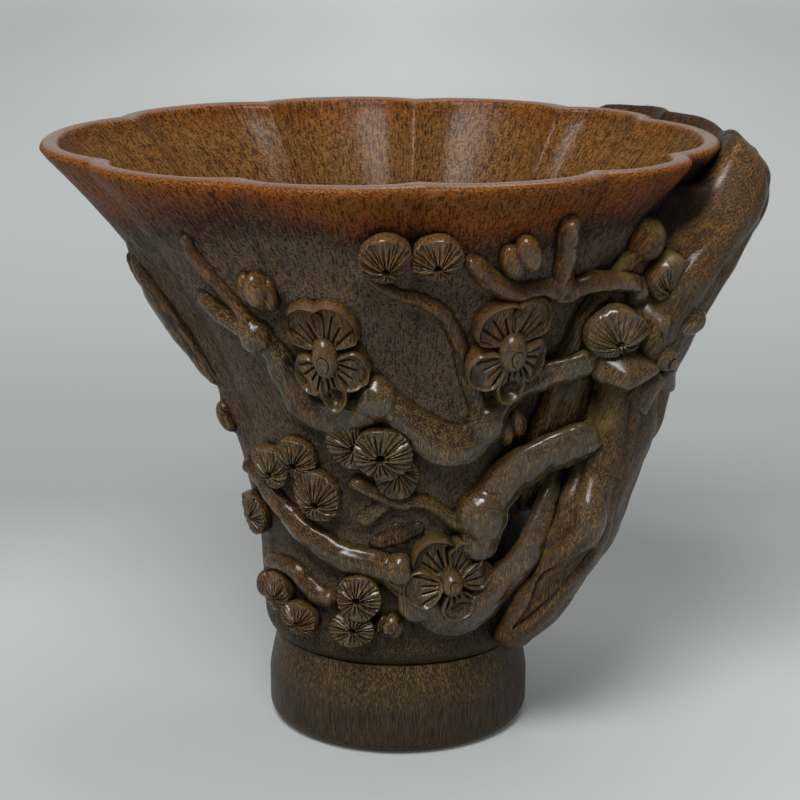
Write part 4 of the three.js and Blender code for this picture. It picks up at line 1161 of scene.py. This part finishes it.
def store(piece, name, values, kind="FLOAT"):
    """Keeps numbers on a piece's vertices, for its material."""
    layer = piece.data.attributes.new(name, kind, "POINT")
    key = "vector" if kind == "FLOAT_VECTOR" else "value"
    layer.data.foreach_set(key, np.ascontiguousarray(values, np.float32).ravel())


def straightened(rows):
    """Where points would lie if the horn weren't flared: its fibres run straight up there."""
    cup = bpy.context.scene.cup_sizes
    levels = (rows[:, 2] - cup.foot_height) / (cup.cup_height - cup.foot_height)
    half_length, half_depth, axis_x = half_axes(np.clip(levels, 0, 1))
    mean = (cup.waist_half_length + cup.rim_half_depth) / 2
    return np.stack([
        (rows[:, 0] - axis_x) / half_length * mean, (rows[:, 1] - AXIS_Y) / half_depth * mean, rows[:, 2]], axis=-1)


def wall_tree():
    """A search tree over the bare outer wall and the foot."""
    turns, levels = np.meshgrid(
        np.linspace(0, 360, BARE_WALL_SECTORS + 1)[:-1], np.linspace(0, 1, BARE_WALL_ROWS))
    rows = wall(turns.ravel(), levels.ravel())
    count = turns.shape[1]
    faces = []
    for start in range(0, len(rows) - count, count):
        for index in range(count):
            here, after = start + index, start + (index + 1) % count
            faces.append((here, after, after + count, here + count))
    return BVHTree.FromPolygons(rows.tolist(), faces)


def mark_relief(piece, tree):
    """Stores each vertex's height above the bare wall, from 0 to 1, and its straightened place."""
    rows = points_of(piece)
    lift = np.zeros(len(rows))
    for index, row in enumerate(rows):
        place, normal, _, _ = tree.find_nearest(Vector(row))
        lift[index] = (Vector(row) - place).dot(normal)
    store(piece, "lift", np.clip(lift / FULL_LIFT, 0, 1))
    store(piece, "fibre", straightened(rows), "FLOAT_VECTOR")


def nearness(rows, spots):
    """How near each row is to any of the spots, 1 on one and fading out past its radius."""
    total = np.zeros(len(rows))
    for turn, height, proud, radius in spots:
        away = ((rows - proud_of_wall(turn, height, proud)) ** 2).sum(axis=1)
        total += np.exp(-away / radius ** 2)
    return total


def mark_crevices(pieces, glances):
    """Stores how shut in each vertex is, from 0 in the open to 1 in a crevice, with painted shadow added at the black
    spots, and its dust and polish spots; shut places are later darkened as painted shade.
    """
    tree = relief_tree(pieces)
    reach = GLANCE_REACH_SHARE * bpy.context.scene.cup_sizes.cup_height
    local = np.array([(math.sin(math.radians(t)) * math.cos(math.radians(a)),
                       math.sin(math.radians(t)) * math.sin(math.radians(a)),
                       math.cos(math.radians(t))) for t, a in glances])
    for piece in pieces:
        rows, normals = points_of(piece), points_of(piece, "normal")
        helper = np.where(np.abs(normals[:, 2:3]) < 0.9, [[0, 0, 1.0]], [[1.0, 0, 0]])
        aside = np.cross(helper, normals)
        aside /= np.maximum(np.linalg.norm(aside, axis=1, keepdims=True), 1e-9)
        ahead = np.cross(normals, aside)
        shut = np.zeros(len(rows))
        starts = rows + normals * GLANCE_START
        for tilt in local:
            rays = aside * tilt[0] + ahead * tilt[1] + normals * tilt[2]
            for index, (start, ray) in enumerate(zip(starts, rays)):
                hit = tree.ray_cast(Vector(start), Vector(ray), reach)
                if hit[0] is not None:
                    shut[index] += 1 - hit[3] / reach
        # Painted shadow: the hollow under the rim is blackened into the shut value, on the outside only.
        painted_shadow = nearness(rows, PAINTED_SHADOW_SPOTS)
        inside = piece.data.attributes.get("inside")
        if inside:
            shares = np.empty(len(rows), np.float32)
            inside.data.foreach_get("value", shares)
            painted_shadow = painted_shadow * (1 - shares)
        store(piece, "shut", np.clip(shut / len(glances) + 0.8 * painted_shadow, 0, 1))
        store(piece, "dusted", np.clip(nearness(rows, DUST_SPOTS), 0, 1))
        store(piece, "polished", np.clip(nearness(rows, POLISHED_SPOTS), 0, 1))


class Mixer:
    """Builds a node tree step by step, from values and sockets."""

    def __init__(self, tree):
        self.tree = tree

    def node(self, kind, settings=None, inputs=None):
        """Adds a node, sets its properties and feeds its inputs."""
        made = self.tree.nodes.new(kind)
        for key, value in (settings or {}).items():
            setattr(made, key, value)
        self.feed(made, inputs or {})
        return made

    def feed(self, node, inputs):
        """Feeds a node's inputs: a socket is linked, and a value is set."""
        for key, value in inputs.items():
            socket = node.inputs[key]
            if isinstance(value, bpy.types.NodeSocket):
                self.tree.links.new(value, socket)
            elif socket.type == "RGBA":
                socket.default_value = (*value, 1)
            else:
                socket.default_value = value

    def maths(self, operation, first, second=0.0, clamp=False):
        """The result of a sum of two values or sockets; a clamped one is held from 0 to 1."""
        settings = {"operation": operation, "use_clamp": clamp}
        return self.node("ShaderNodeMath", settings, {0: first, 1: second}).outputs[0]

    def folded(self, operation, values, clamp=False):
        """The result of the same sum over several values, one after the other."""
        total, *others, last = values
        for value in others:
            total = self.maths(operation, total, value)
        return self.maths(operation, total, last, clamp)

    def times(self, *values, clamp=False):
        """Values multiplied."""
        return self.folded("MULTIPLY", values, clamp)

    def plus(self, *values, clamp=False):
        """Values added."""
        return self.folded("ADD", values, clamp)

    def less(self, first, second, clamp=False):
        """The second value taken from the first."""
        return self.maths("SUBTRACT", first, second, clamp)

    def most(self, *values):
        """The largest of the values."""
        return self.folded("MAXIMUM", values)

    def blend(self, factor, first, second, blend_type="MIX"):
        """Two colours mixed by a factor."""
        settings = {"data_type": "RGBA", "blend_type": blend_type}
        return self.node("ShaderNodeMix", settings, {0: factor, 6: first, 7: second}).outputs[2]

    def tint(self, colour, *layers):
        """A colour that takes on others in turn, each layer as (mark, share, colour)."""
        for mark, share, shade in layers:
            colour = self.blend(self.times(mark, share), colour, shade)
        return colour

    def spread(self, value, low, high, to_low=0.0, to_high=1.0):
        """A value's span from low to high, drawn out to another span and held within it."""
        inputs = {"Value": value, "From Min": low, "From Max": high, "To Min": to_low, "To Max": to_high}
        return self.node("ShaderNodeMapRange", {"clamp": True}, inputs).outputs["Result"]

    def cloud(self, vector, scale, detail, roughness):
        """Noise from 0 to 1."""
        inputs = {"Vector": vector, "Scale": scale, "Detail": detail, "Roughness": roughness}
        return self.node("ShaderNodeTexNoise", None, inputs).outputs["Fac"]

    def ramp(self, value, stops):
        """A colour read off a row of (position, colour) stops."""
        made = self.node("ShaderNodeValToRGB", None, {0: value})
        elements = made.color_ramp.elements
        while len(elements) < len(stops):
            elements.new(0.5)
        for element, (position, shade) in zip(elements, stops):
            element.position = position
            element.color = (*shade, 1)
        return made.outputs["Color"]

    def stored(self, name, output="Fac"):
        """What a piece's vertices have stored under a name."""
        return self.node("ShaderNodeAttribute", {"attribute_name": name}).outputs[output]

    def place(self):
        """Where a point lies, in the piece's own space."""
        return self.node("ShaderNodeTexCoord").outputs["Object"]

    def upright(self):
        """How far the surface faces up, from -1 to 1."""
        return self.along(self.node("ShaderNodeNewGeometry").outputs["Normal"], "Z")

    def along(self, vector, axis):
        """A vector's part along an axis."""
        return self.node("ShaderNodeSeparateXYZ", None, {0: vector}).outputs[axis]

    def use(self, group, inputs):
        """Places a node group with its own values."""
        return self.node("ShaderNodeGroup", {"node_tree": group}, inputs).outputs


def new_group(name, inputs, outputs):
    """An empty shader node group of plain numbers: its mixer, its inputs and its output node."""
    group = bpy.data.node_groups.new(name, "ShaderNodeTree")
    for socket_name, value in inputs.items():
        socket = group.interface.new_socket(name=socket_name, in_out="INPUT", socket_type="NodeSocketFloat")
        socket.default_value = value
    for socket_name in outputs:
        group.interface.new_socket(name=socket_name, in_out="OUTPUT", socket_type="NodeSocketFloat")
    return Mixer(group), group.nodes.new("NodeGroupInput").outputs, group.nodes.new("NodeGroupOutput")


def fibre_group():
    """Horn fibres: golden streaks and dark flecks drawn out along the horn, and their height."""
    mix, given, result = new_group(
        "Horn Fibre", {"Size": 1.0, "Length": 6.0, "Fleck Share": 0.4}, ("Fleck", "Streak", "Height"))
    shrink = mix.maths("DIVIDE", 1.0, given["Length"])
    squeeze = mix.node("ShaderNodeCombineXYZ", None, {0: 1.0, 1: 1.0, 2: shrink}).outputs[0]
    drawn = mix.node(
        "ShaderNodeVectorMath", {"operation": "MULTIPLY"}, {0: mix.stored("fibre", "Vector"), 1: squeeze}).outputs[0]
    scale = mix.maths("DIVIDE", 1000.0, given["Size"])
    streaks = mix.cloud(drawn, scale, 1.0, 0.5)
    veil = mix.cloud(drawn, mix.times(scale, 0.2), 2.0, 0.5)
    streak = mix.spread(mix.plus(mix.times(streaks, 0.75), mix.times(veil, 0.25)), 0.505, 0.56)
    flecks = mix.cloud(drawn, mix.times(scale, 1.3), 1.0, 0.5)
    edge = mix.less(0.72, mix.times(given["Fleck Share"], 0.3))
    fleck = mix.times(mix.less(flecks, edge), 14.0, clamp=True)
    mix.feed(result, {"Fleck": fleck, "Streak": streak, "Height": mix.less(mix.times(streak, 0.6), fleck)})
    return mix.tree


def wear_dust_and_shade_group():
    """Where hands have polished the relief, with painted sheen on its high parts, where dust has settled in its
    crevices, and where painted shade darkens its crevices and creases.
    """
    mix, given, result = new_group("Wear And Dust", {"Wear": 1.0, "Dust": 0.5}, ("Worn", "Dusty", "Deep"))
    tall = bpy.context.scene.cup_sizes.cup_height
    shut, place, upright = mix.stored("shut"), mix.place(), mix.upright()
    patchy = mix.cloud(place, *CLOUDS["patchy"])
    edge = mix.node("ShaderNodeNewGeometry").outputs["Pointiness"]
    open_air = mix.spread(shut, 0.45, 0.1)
    worn = mix.times(mix.spread(edge, 0.505, 0.56), open_air, given["Wear"], clamp=True)
    # Painted sheen: high relief is made paler in this mark, as if lit; the pointy edges above are real wear.
    high = mix.times(mix.spread(mix.stored("lift"), 0.35, 1.0), mix.times(open_air, 0.45))
    ledge = mix.times(
        mix.spread(shut, 0.15, 0.5), mix.spread(upright, 0.0, 0.5),
        mix.spread(mix.along(place, "X"), AXIS_X, AXIS_X + 0.03, 0.35, 1.0), mix.spread(shut, 0.75, 0.5),
        mix.spread(mix.along(place, "Z"), DUST_NONE * tall, DUST_FULL * tall))
    dusty = mix.times(mix.times(ledge, mix.spread(patchy, 0.38, 0.56)), given["Dust"], clamp=True)
    thick = mix.times(
        mix.spread(mix.stored("dusted"), 0.1, 0.6), mix.spread(patchy, 0.34, 0.52),
        mix.spread(upright, -0.1, 0.35), mix.spread(shut, 0.8, 0.5))
    # Painted shade: creases and shut places get a mark that darkens them as if shade fell there.
    mix.feed(result, {
        "Worn": mix.plus(worn, high, clamp=True), "Dusty": mix.most(dusty, thick),
        "Deep": mix.most(mix.spread(edge, 0.495, 0.45), mix.spread(shut, 0.24, 0.62))})
    return mix.tree


def new_material(name):
    """An empty material: its mixer and its surface shader."""
    material = bpy.data.materials.new(name)
    material.use_nodes = True
    return Mixer(material.node_tree), material.node_tree.nodes["Principled BSDF"]


def finish_shader(mix, shader, colour, roughness, height, gloss, shine=0.1):
    """Feeds the surface shader of a horn material; its gloss is a number or a socket."""
    grain = {"Strength": GRAIN_BUMP, "Distance": GRAIN_DEPTH, "Height": height}
    mix.feed(shader, {
        "Base Color": colour, "Roughness": roughness, "Specular IOR Level": shine, "Coat Weight": gloss,
        "Coat Roughness": COAT_ROUGHNESS, "Normal": mix.node("ShaderNodeBump", None, grain).outputs[0]})


def relief_material(name, groups, glow, size, flecks, dust, wear, gloss, rough):
    """Carved horn: dark, with golden and orange fibres that glow more or less, worn paler at its edges, with painted
    sheen where it is high and painted shade near the wall and in crevices.
    """
    colours = bpy.context.scene.horn_colours
    tall = bpy.context.scene.cup_sizes.cup_height
    mix, shader = new_material(name)
    fibre = mix.use(groups["fibre"], {"Size": size, "Length": 16.0, "Fleck Share": flecks})
    marks = mix.use(groups["wear"], {"Wear": wear, "Dust": dust})
    place, lift = mix.place(), mix.stored("lift")
    broad = mix.cloud(place, *CLOUDS["broad"])
    warm = mix.cloud(place, *CLOUDS["warm"])
    near_rim = mix.spread(mix.along(place, "Z"), WARM_NONE * tall, WARM_FULL * tall)
    base = mix.blend(mix.spread(broad, 0.4, 0.7, 0.0, 0.8), colours.bark, colours.loam)
    base = mix.tint(base, (near_rim, 0.25, colours.ochre))
    fibres = mix.blend(mix.spread(warm, 0.4, 0.62), colours.gold, colours.rust)
    fibres = mix.tint(fibres, (near_rim, 0.7, colours.rust))
    glowing = mix.spread(broad, 0.3, 0.7, 0.5 * glow, glow)
    # The worn mark brings real edge wear and a painted sheen on high relief.
    colour = mix.tint(base, (fibre["Streak"], glowing, fibres), (marks["Worn"], 0.5, colours.honey))
    # Painted shade: relief close to the wall darkens towards pitch, as if shade fell at its foot.
    colour = mix.blend(mix.spread(lift, 0.32, 0.1, 0.0, 0.65), colour, colours.pitch)
    # Flecks and dust are real; the painted shade mark blackens crevices as shade.
    colour = mix.tint(
        colour, (fibre["Fleck"], 0.75, colours.pitch), (marks["Deep"], 0.85, colours.pitch),
        (marks["Dusty"], 0.8, colours.dust))
    roughness = mix.plus(
        rough, mix.times(marks["Dusty"], 0.4), mix.times(marks["Worn"], -0.1), mix.times(fibre["Fleck"], 0.2),
        clamp=True)
    handled = mix.most(mix.spread(lift, 0.25, 0.8, 0.3 * gloss, gloss), mix.stored("polished"))
    open_gloss = mix.times(mix.less(1.0, marks["Deep"], clamp=True), handled)
    finish_shader(mix, shader, colour, roughness, fibre["Height"], open_gloss)


def bowl_material(groups):
    """The bowl's horn: amber at the rim, then red, then dark stippled ground, inside and out."""
    colours = bpy.context.scene.horn_colours
    cup = bpy.context.scene.cup_sizes
    mix, shader = new_material("bowl horn")
    fibre = mix.use(groups["fibre"], {"Size": 0.3, "Length": 7.0, "Fleck Share": 0.52})
    marks = mix.use(groups["wear"], {"Wear": 0.3, "Dust": 0.6})
    place, straight, inside = mix.place(), mix.stored("fibre", "Vector"), mix.stored("inside")
    level_here = mix.spread(mix.along(place, "Z"), cup.foot_height, cup.cup_height)
    drift = mix.cloud(place, *CLOUDS["drift"])
    mottled = mix.cloud(straight, *CLOUDS["mottled"])
    grain = mix.cloud(straight, *CLOUDS["grain"])
    pores = mix.spread(grain, 0.5, 0.62)
    wobble = mix.plus(mix.times(mix.less(drift, 0.5), 0.22), mix.times(mix.less(mottled, 0.5), 0.05))
    wobbled = mix.plus(level_here, wobble)
    outside = mix.ramp(wobbled, [
        (0.0, colours.loam), (0.42, colours.umber), (0.85, colours.umber), (0.895, colours.plum),
        (0.925, colours.garnet), (0.958, colours.ember), (0.99, colours.amber)])
    within = mix.ramp(wobbled, [
        (0.0, colours.loam), (0.3, colours.bark), (0.6, colours.umber), (0.76, colours.plum),
        (0.86, colours.ochre), (0.95, colours.ochre), (1.0, colours.amber)])
    dusty = mix.times(marks["Dusty"], mix.less(1.0, inside, clamp=True))
    # Painted reflection: where the lip's top faces up, its colour turns to a pale sheen.
    lip = mix.times(mix.spread(mix.upright(), 0.78, 0.95), mix.spread(level_here, 0.95, 0.975))
    # Mottling, streaks, specks, pores, flecks and dust are real; the painted shade mark blackens the wall beside the
    # relief and in creases.
    colour = mix.tint(
        mix.blend(inside, outside, within),
        (mix.times(mix.spread(mottled, 0.46, 0.6), 0.4), inside, colours.bark),
        (fibre["Streak"], 0.22, colours.gold), (mix.spread(grain, 0.46, 0.36), 0.3, colours.honey),
        (pores, 0.42, colours.pitch), (fibre["Fleck"], 0.65, colours.pitch), (marks["Deep"], 0.85, colours.pitch),
        (dusty, 0.7, colours.dust), (lip, 0.5, colours.painted_lip_sheen))
    roughness = mix.plus(
        0.36, mix.times(dusty, 0.4), mix.times(pores, 0.15), mix.times(fibre["Fleck"], 0.2), clamp=True)
    polish = mix.most(mix.times(lip, 0.8), mix.times(inside, 0.12), 0.04)
    finish_shader(mix, shader, colour, roughness, mix.less(fibre["Height"], pores), polish, 0.07)


def foot_material(groups):
    """The foot's horn: dark, with long pale streaks near its top."""
    colours = bpy.context.scene.horn_colours
    cup = bpy.context.scene.cup_sizes
    mix, shader = new_material("foot horn")
    fibre = mix.use(groups["fibre"], {"Size": 0.28, "Length": 14.0, "Fleck Share": 0.5})
    marks = mix.use(groups["wear"], {"Wear": 0.3, "Dust": 0.4})
    upper = mix.spread(mix.along(mix.place(), "Z"), 0.5 * cup.foot_height, cup.foot_height, 0.12, 0.55)
    # The painted shade mark darkens the foot where the bowl overhangs it and in creases; the streaks, flecks and dust
    # are real.
    colour = mix.tint(
        colours.loam, (fibre["Streak"], upper, colours.gold), (fibre["Fleck"], 0.7, colours.pitch),
        (marks["Deep"], 0.7, colours.pitch), (marks["Dusty"], 0.6, colours.dust))
    roughness = mix.plus(0.42, mix.times(fibre["Fleck"], 0.2), clamp=True)
    finish_shader(mix, shader, colour, roughness, fibre["Height"], 0.12)


# The relief's materials, as (glow, fibre size, fleck share, dust, wear, gloss, roughness)
RELIEF_HORN = {
    "trunk horn": (0.85, 0.28, 0.5, 0.9, 0.9, 0.2, 0.36),
    "limb horn": (0.8, 0.27, 0.45, 0.9, 1.2, 1.0, 0.32),
    "petal horn": (0.85, 0.26, 0.3, 0.7, 1.5, 0.6, 0.38),
    "needle horn": (1.0, 0.26, 0.25, 0.8, 1.4, 0.8, 0.36),
    "bud horn": (1.0, 0.3, 0.25, 0.6, 1.1, 0.95, 0.28),
}


def keep(piece, node, material):
    """Gives a finished piece its material and its place in the frame."""
    pick(piece)
    apply_place()
    bpy.ops.object.shade_smooth_by_angle(angle=math.radians(SMOOTH_ANGLE))
    piece.data.materials.clear()
    piece.data.materials.append(bpy.data.materials[material])
    piece.name = f"{node}_carved"
    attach(piece, "root")
    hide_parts(node)


def carved_pieces():
    """The pieces carved so far."""
    return [piece for piece in bpy.context.scene.objects if piece.name.endswith("_carved")]


class HORNCUP_OT_materials(bpy.types.Operator):
    """Mixes the horn materials"""

    bl_idname = "horncup.materials"
    bl_label = "Mix Materials"

    def execute(self, context):
        groups = {"fibre": fibre_group(), "wear": wear_dust_and_shade_group()}
        bowl_material(groups)
        foot_material(groups)
        for name, values in RELIEF_HORN.items():
            relief_material(name, groups, *values)
        return {"FINISHED"}


class HORNCUP_OT_trunk(bpy.types.Operator):
    """Carves the trunk that serves as the handle, and the arm that runs on behind the rim"""

    bl_idname = "horncup.trunk"
    bl_label = "Carve Trunk"

    def execute(self, context):
        carving = context.scene.carving_sizes
        width, thickness = carving.trunk_width, carving.trunk_thickness
        parts = [
            limb("trunk", TRUNK_ROUTE, width, thickness, **CUTS["trunk"]),
            limb("bark", BARK_ROUTE, width, thickness, **CUTS["bark"]),
            *limb_knots("trunk", carving.limb_width, carving.limb_relief),
        ]
        trunk = grown_together(parts, "trunk", "trunk")
        swell(trunk)
        furrow(trunk)
        scar(trunk)
        keep(trunk, "trunk", "trunk horn")
        arm = limb("rim_shoulder", SHOULDER_ROUTE, width, thickness, **CUTS["rim_shoulder"])
        arm = grown_together([arm], "rim_shoulder", "rim_shoulder")
        keep(arm, "rim_shoulder", "trunk horn")
        return {"FINISHED"}


class HORNCUP_OT_branches(bpy.types.Operator):
    """Carves the branches and their twigs"""

    bl_idname = "horncup.branches"
    bl_label = "Carve Branches"

    def execute(self, context):
        carving = context.scene.carving_sizes
        for seed, (node, (thick, thin, tilt)) in enumerate(BRANCHES.items()):
            parts = [limb(node, route, carving.limb_width, carving.limb_relief, seed=seed, tilt=tilt, **CUTS["branch"])
                     for route in thick]
            parts += [
                limb(node, route, carving.twig_width, carving.twig_relief, seed=seed + FIRST_TWIG_SEED, **CUTS["twig"])
                for route in thin]
            parts += limb_knots(node, carving.limb_width, carving.limb_relief)
            piece = grown_together(parts, node, "branch")
            keep(piece, node, "limb horn")
        return {"FINISHED"}


class HORNCUP_OT_leaves(bpy.types.Operator):
    """Carves the leaves"""

    bl_idname = "horncup.leaves"
    bl_label = "Carve Leaves"

    def execute(self, context):
        carving = context.scene.carving_sizes
        for seed, (node, route) in enumerate(LEAF_ROUTES.items(), FIRST_LEAF_SEED):
            leaf = limb(node, route, carving.leaf_width, carving.leaf_relief, seed=seed, **CUTS["leaf"])
            leaf = grown_together([leaf], node, "leaf")
            keep(leaf, node, "limb horn")
        return {"FINISHED"}


class HORNCUP_OT_blossoms(bpy.types.Operator):
    """Carves the blossoms, petal by petal"""

    bl_idname = "horncup.blossoms"
    bl_label = "Carve Blossoms"

    def execute(self, context):
        carving = context.scene.carving_sizes
        blank = petal_blank()
        for order, (node, spot) in enumerate(BLOSSOMS.items()):
            parts = [petal(blank, f"{node}_petal", *shape, order + index)
                     for index, shape in enumerate(PETALS[node])]
            flower = joined([*parts, blossom_heart(f"{node}_heart", HEARTS.get(node, 1.0))], node)
            keep_boss(flower, node, spot, carving.blossom_radius, carving.blossom_relief, "petal horn")
        bpy.data.objects.remove(blank)
        return {"FINISHED"}


class HORNCUP_OT_clusters(bpy.types.Operator):
    """Carves the clusters of pine needles"""

    bl_idname = "horncup.clusters"
    bl_label = "Carve Needle Clusters"

    def execute(self, context):
        carving = context.scene.carving_sizes
        blank = needle_wheel()
        for order, (node, spot) in enumerate(CLUSTERS.items()):
            wheel = copied(blank, node)
            shape_wheel(wheel, spot[6:8], order)
            keep_boss(wheel, node, spot, carving.cluster_radius, carving.cluster_relief, "needle horn", spot[8])
        bpy.data.objects.remove(blank)
        return {"FINISHED"}


class HORNCUP_OT_buds(bpy.types.Operator):
    """Carves the buds"""

    bl_idname = "horncup.buds"
    bl_label = "Carve Buds"

    def execute(self, context):
        carving = context.scene.carving_sizes
        blanks = {kind: bud_blank(kind) for kind in BUD_PARTS}
        for node, spot in BUDS.items():
            bud = copied(blanks["split" if node in SPLIT_BUDS else "egg"], node)
            keep_boss(bud, node, spot, carving.bud_radius, carving.bud_relief, "bud horn", spot[6])
        for blank in blanks.values():
            bpy.data.objects.remove(blank)
        return {"FINISHED"}


class HORNCUP_OT_foot(bpy.types.Operator):
    """Turns the oval foot"""

    bl_idname = "horncup.foot"
    bl_label = "Turn Foot"

    def execute(self, context):
        cup = context.scene.cup_sizes
        rings = foot_profile()
        piece = tube("foot", FOOT_SECTORS, len(rings))
        ring, angle, out = rings_and_angles(piece, len(rings))
        inset, height = np.array(rings)[ring].T
        rows = np.stack([
            AXIS_X + (cup.foot_half_length - inset) * np.cos(angle) * out,
            AXIS_Y + (cup.foot_half_depth - inset) * np.sin(angle) * out, height], axis=-1)
        place_points(piece, rows)
        keep(piece, "foot", "foot horn")
        return {"FINISHED"}


class HORNCUP_OT_bowl(bpy.types.Operator):
    """Carves the bowl and raises its ground beside the relief"""

    bl_idname = "horncup.bowl"
    bl_label = "Carve Bowl"

    def execute(self, context):
        rings = bowl_rings()
        piece = tube("bowl", BOWL_SECTORS, len(rings))
        parts, shares, turns = carve_bowl_shape(piece, rings)
        raise_ground(piece, parts, shares, turns, relief_tree(carved_pieces()))
        lip = parts == "lip"
        inside = np.where(lip, smoothstep(0.3, 0.7, shares), (parts != "outer").astype(float))
        store(piece, "inside", inside)
        keep(piece, "bowl", "bowl horn")
        return {"FINISHED"}


class HORNCUP_OT_patina_and_shade(bpy.types.Operator):
    """Marks where the horn is worn, where dust settles, and where shade is painted into its crevices"""

    bl_idname = "horncup.patina"
    bl_label = "Mark Patina"

    def execute(self, context):
        tree = wall_tree()
        for piece in carved_pieces():
            mark_relief(piece, tree)
        mark_crevices(carved_pieces(), GLANCES)
        return {"FINISHED"}


def soft_light(name, power, size, place, aim):
    """A square soft light that shines at a point."""
    light = bpy.data.lights.new(name, "AREA")
    light.energy = power
    light.size = size
    lamp = bpy.data.objects.new(name, light)
    lamp.location = place
    lamp.rotation_euler = (Vector(aim) - Vector(place)).to_track_quat("-Z", "Y").to_euler()
    bpy.context.collection.objects.link(lamp)


def backdrop():
    """A floor that sweeps up into a backdrop, its paper with painted shade, a painted pool of light and a painted
    glow.
    """
    studio = bpy.context.scene.studio_settings
    clear_selection()
    bpy.ops.mesh.primitive_plane_add(size=FLOOR_SIDE, location=(0, 0, 0))
    sweep = bpy.context.object
    sweep.name = "studio_sweep"
    with edit_mode():
        select_where(sweep, lambda vertex: vertex.co.y > 0)
        extrude_up(SWEEP_STEP, SWEEP_STEP)
        extrude_up(WALL_HEIGHT)
    apply_modifier(sweep, "BEVEL", width=SWEEP_WIDTH, segments=SWEEP_SEGMENTS)
    bpy.ops.object.shade_smooth()
    mix, shader = new_material("studio paper")
    place = mix.place()
    depth = mix.along(place, "Y")
    paper = mix.blend(mix.spread(depth, -0.1, 0.9), studio.floor_colour, studio.wall_colour)
    # Painted shade: the paper darkens in a band behind the cup, as if the sweep lay in shadow.
    paper_shade = mix.ramp(mix.spread(depth, PAPER_NEAR, PAPER_FAR), [
        ((spot - PAPER_NEAR) / (PAPER_FAR - PAPER_NEAR), (share,) * 3) for spot, share in PAINTED_PAPER_SHADE])
    seen = mix.node("ShaderNodeLightPath").outputs
    shown = mix.most(seen["Is Camera Ray"], seen["Is Glossy Ray"], seen["Is Transmission Ray"])
    # Painted light: a pale pool on the backdrop behind the cup.
    off_axis = mix.maths("ABSOLUTE", mix.less(mix.along(place, "X"), AXIS_X))
    middle = mix.times(mix.spread(off_axis, 0.24, 0.0), mix.spread(depth, 0.4, 0.85))
    # Painted glow for camera and mirror rays: it rises towards the back, and near the cup it lightens the cup's shadow
    # on the floor.
    far = mix.spread(depth, 0.15, 1.3, 0.08, studio.backdrop_glow)
    mix.feed(shader, {
        "Base Color": mix.blend(1.0, paper, paper_shade, "MULTIPLY"), "Emission Color": studio.wall_colour,
        "Emission Strength": mix.times(mix.plus(far, mix.times(middle, 0.22)), shown),
        "Roughness": 0.9, "Specular IOR Level": 0.1})
    sweep.data.materials.append(bpy.data.materials["studio paper"])


class HORNCUP_OT_stage(bpy.types.Operator):
    """Sets up the floor, the lights and the camera"""

    bl_idname = "horncup.stage"
    bl_label = "Set Stage"

    def execute(self, context):
        scene = context.scene
        studio = scene.studio_settings
        backdrop()
        middle = (AXIS_X, AXIS_Y, studio.aim_height)
        for name, (power, size, place) in LIGHTS.items():
            soft_light(name, getattr(studio, power), size, place, middle)
        world = bpy.data.worlds.new("studio air")
        world.use_nodes = True
        air = world.node_tree.nodes["Background"]
        air.inputs["Color"].default_value = (*SKY_COLOUR, 1)
        air.inputs["Strength"].default_value = studio.sky_strength
        scene.world = world
        camera = bpy.data.objects.new("camera", bpy.data.cameras.new("camera"))
        bpy.context.collection.objects.link(camera)
        back = Vector((0, -math.cos(studio.elevation), math.sin(studio.elevation)))
        aim = Vector((AXIS_X + studio.aim_shift, AXIS_Y, studio.aim_height))
        camera.location = aim + back * studio.distance
        camera.rotation_euler = (-back).to_track_quat("-Z", "Y").to_euler()
        camera.data.lens = studio.lens
        camera.data.sensor_width = SENSOR_WIDTH
        scene.camera = camera
        scene.view_settings.view_transform = "Standard"
        return {"FINISHED"}


class HORNCUP_PT_panel(bpy.types.Panel):
    """Lists the steps that make the cup, and its main sizes"""

    bl_idname = "HORNCUP_PT_panel"
    bl_label = "Horn Cup"
    bl_space_type = "VIEW_3D"
    bl_region_type = "UI"
    bl_category = "Horn Cup"

    def draw(self, context):
        column = self.layout.column(align=True)
        for step in STEPS:
            column.operator(step.bl_idname)
        for group in (context.scene.cup_sizes, context.scene.carving_sizes, context.scene.horn_colours):
            box = self.layout.box()
            for key in group.bl_rna.properties.keys():
                if key not in {"rna_type", "name"}:
                    box.prop(group, key)


GROUPS = {
    "cup_sizes": CupSizes,
    "carving_sizes": CarvingSizes,
    "horn_colours": HornColours,
    "studio_settings": StudioSettings,
}
STEPS = [
    HORNCUP_OT_materials, HORNCUP_OT_trunk, HORNCUP_OT_branches, HORNCUP_OT_leaves, HORNCUP_OT_blossoms,
    HORNCUP_OT_clusters, HORNCUP_OT_buds, HORNCUP_OT_foot, HORNCUP_OT_bowl, HORNCUP_OT_patina_and_shade,
    HORNCUP_OT_stage,
]


def register():
    """Registers the property groups, operators and panel."""
    for key, group in GROUPS.items():
        bpy.utils.register_class(group)
        setattr(bpy.types.Scene, key, bpy.props.PointerProperty(type=group))
    for step in STEPS:
        bpy.utils.register_class(step)
    bpy.utils.register_class(HORNCUP_PT_panel)


def unregister():
    """Removes them again."""
    bpy.utils.unregister_class(HORNCUP_PT_panel)
    for step in reversed(STEPS):
        bpy.utils.unregister_class(step)
    for key, group in reversed(GROUPS.items()):
        delattr(bpy.types.Scene, key)
        bpy.utils.unregister_class(group)


def main():
    """Makes the cup, step by step."""
    register()
    for step in STEPS:
        family, action = step.bl_idname.split(".")
        getattr(getattr(bpy.ops, family), action)()


if __name__ == "__main__":
    main()
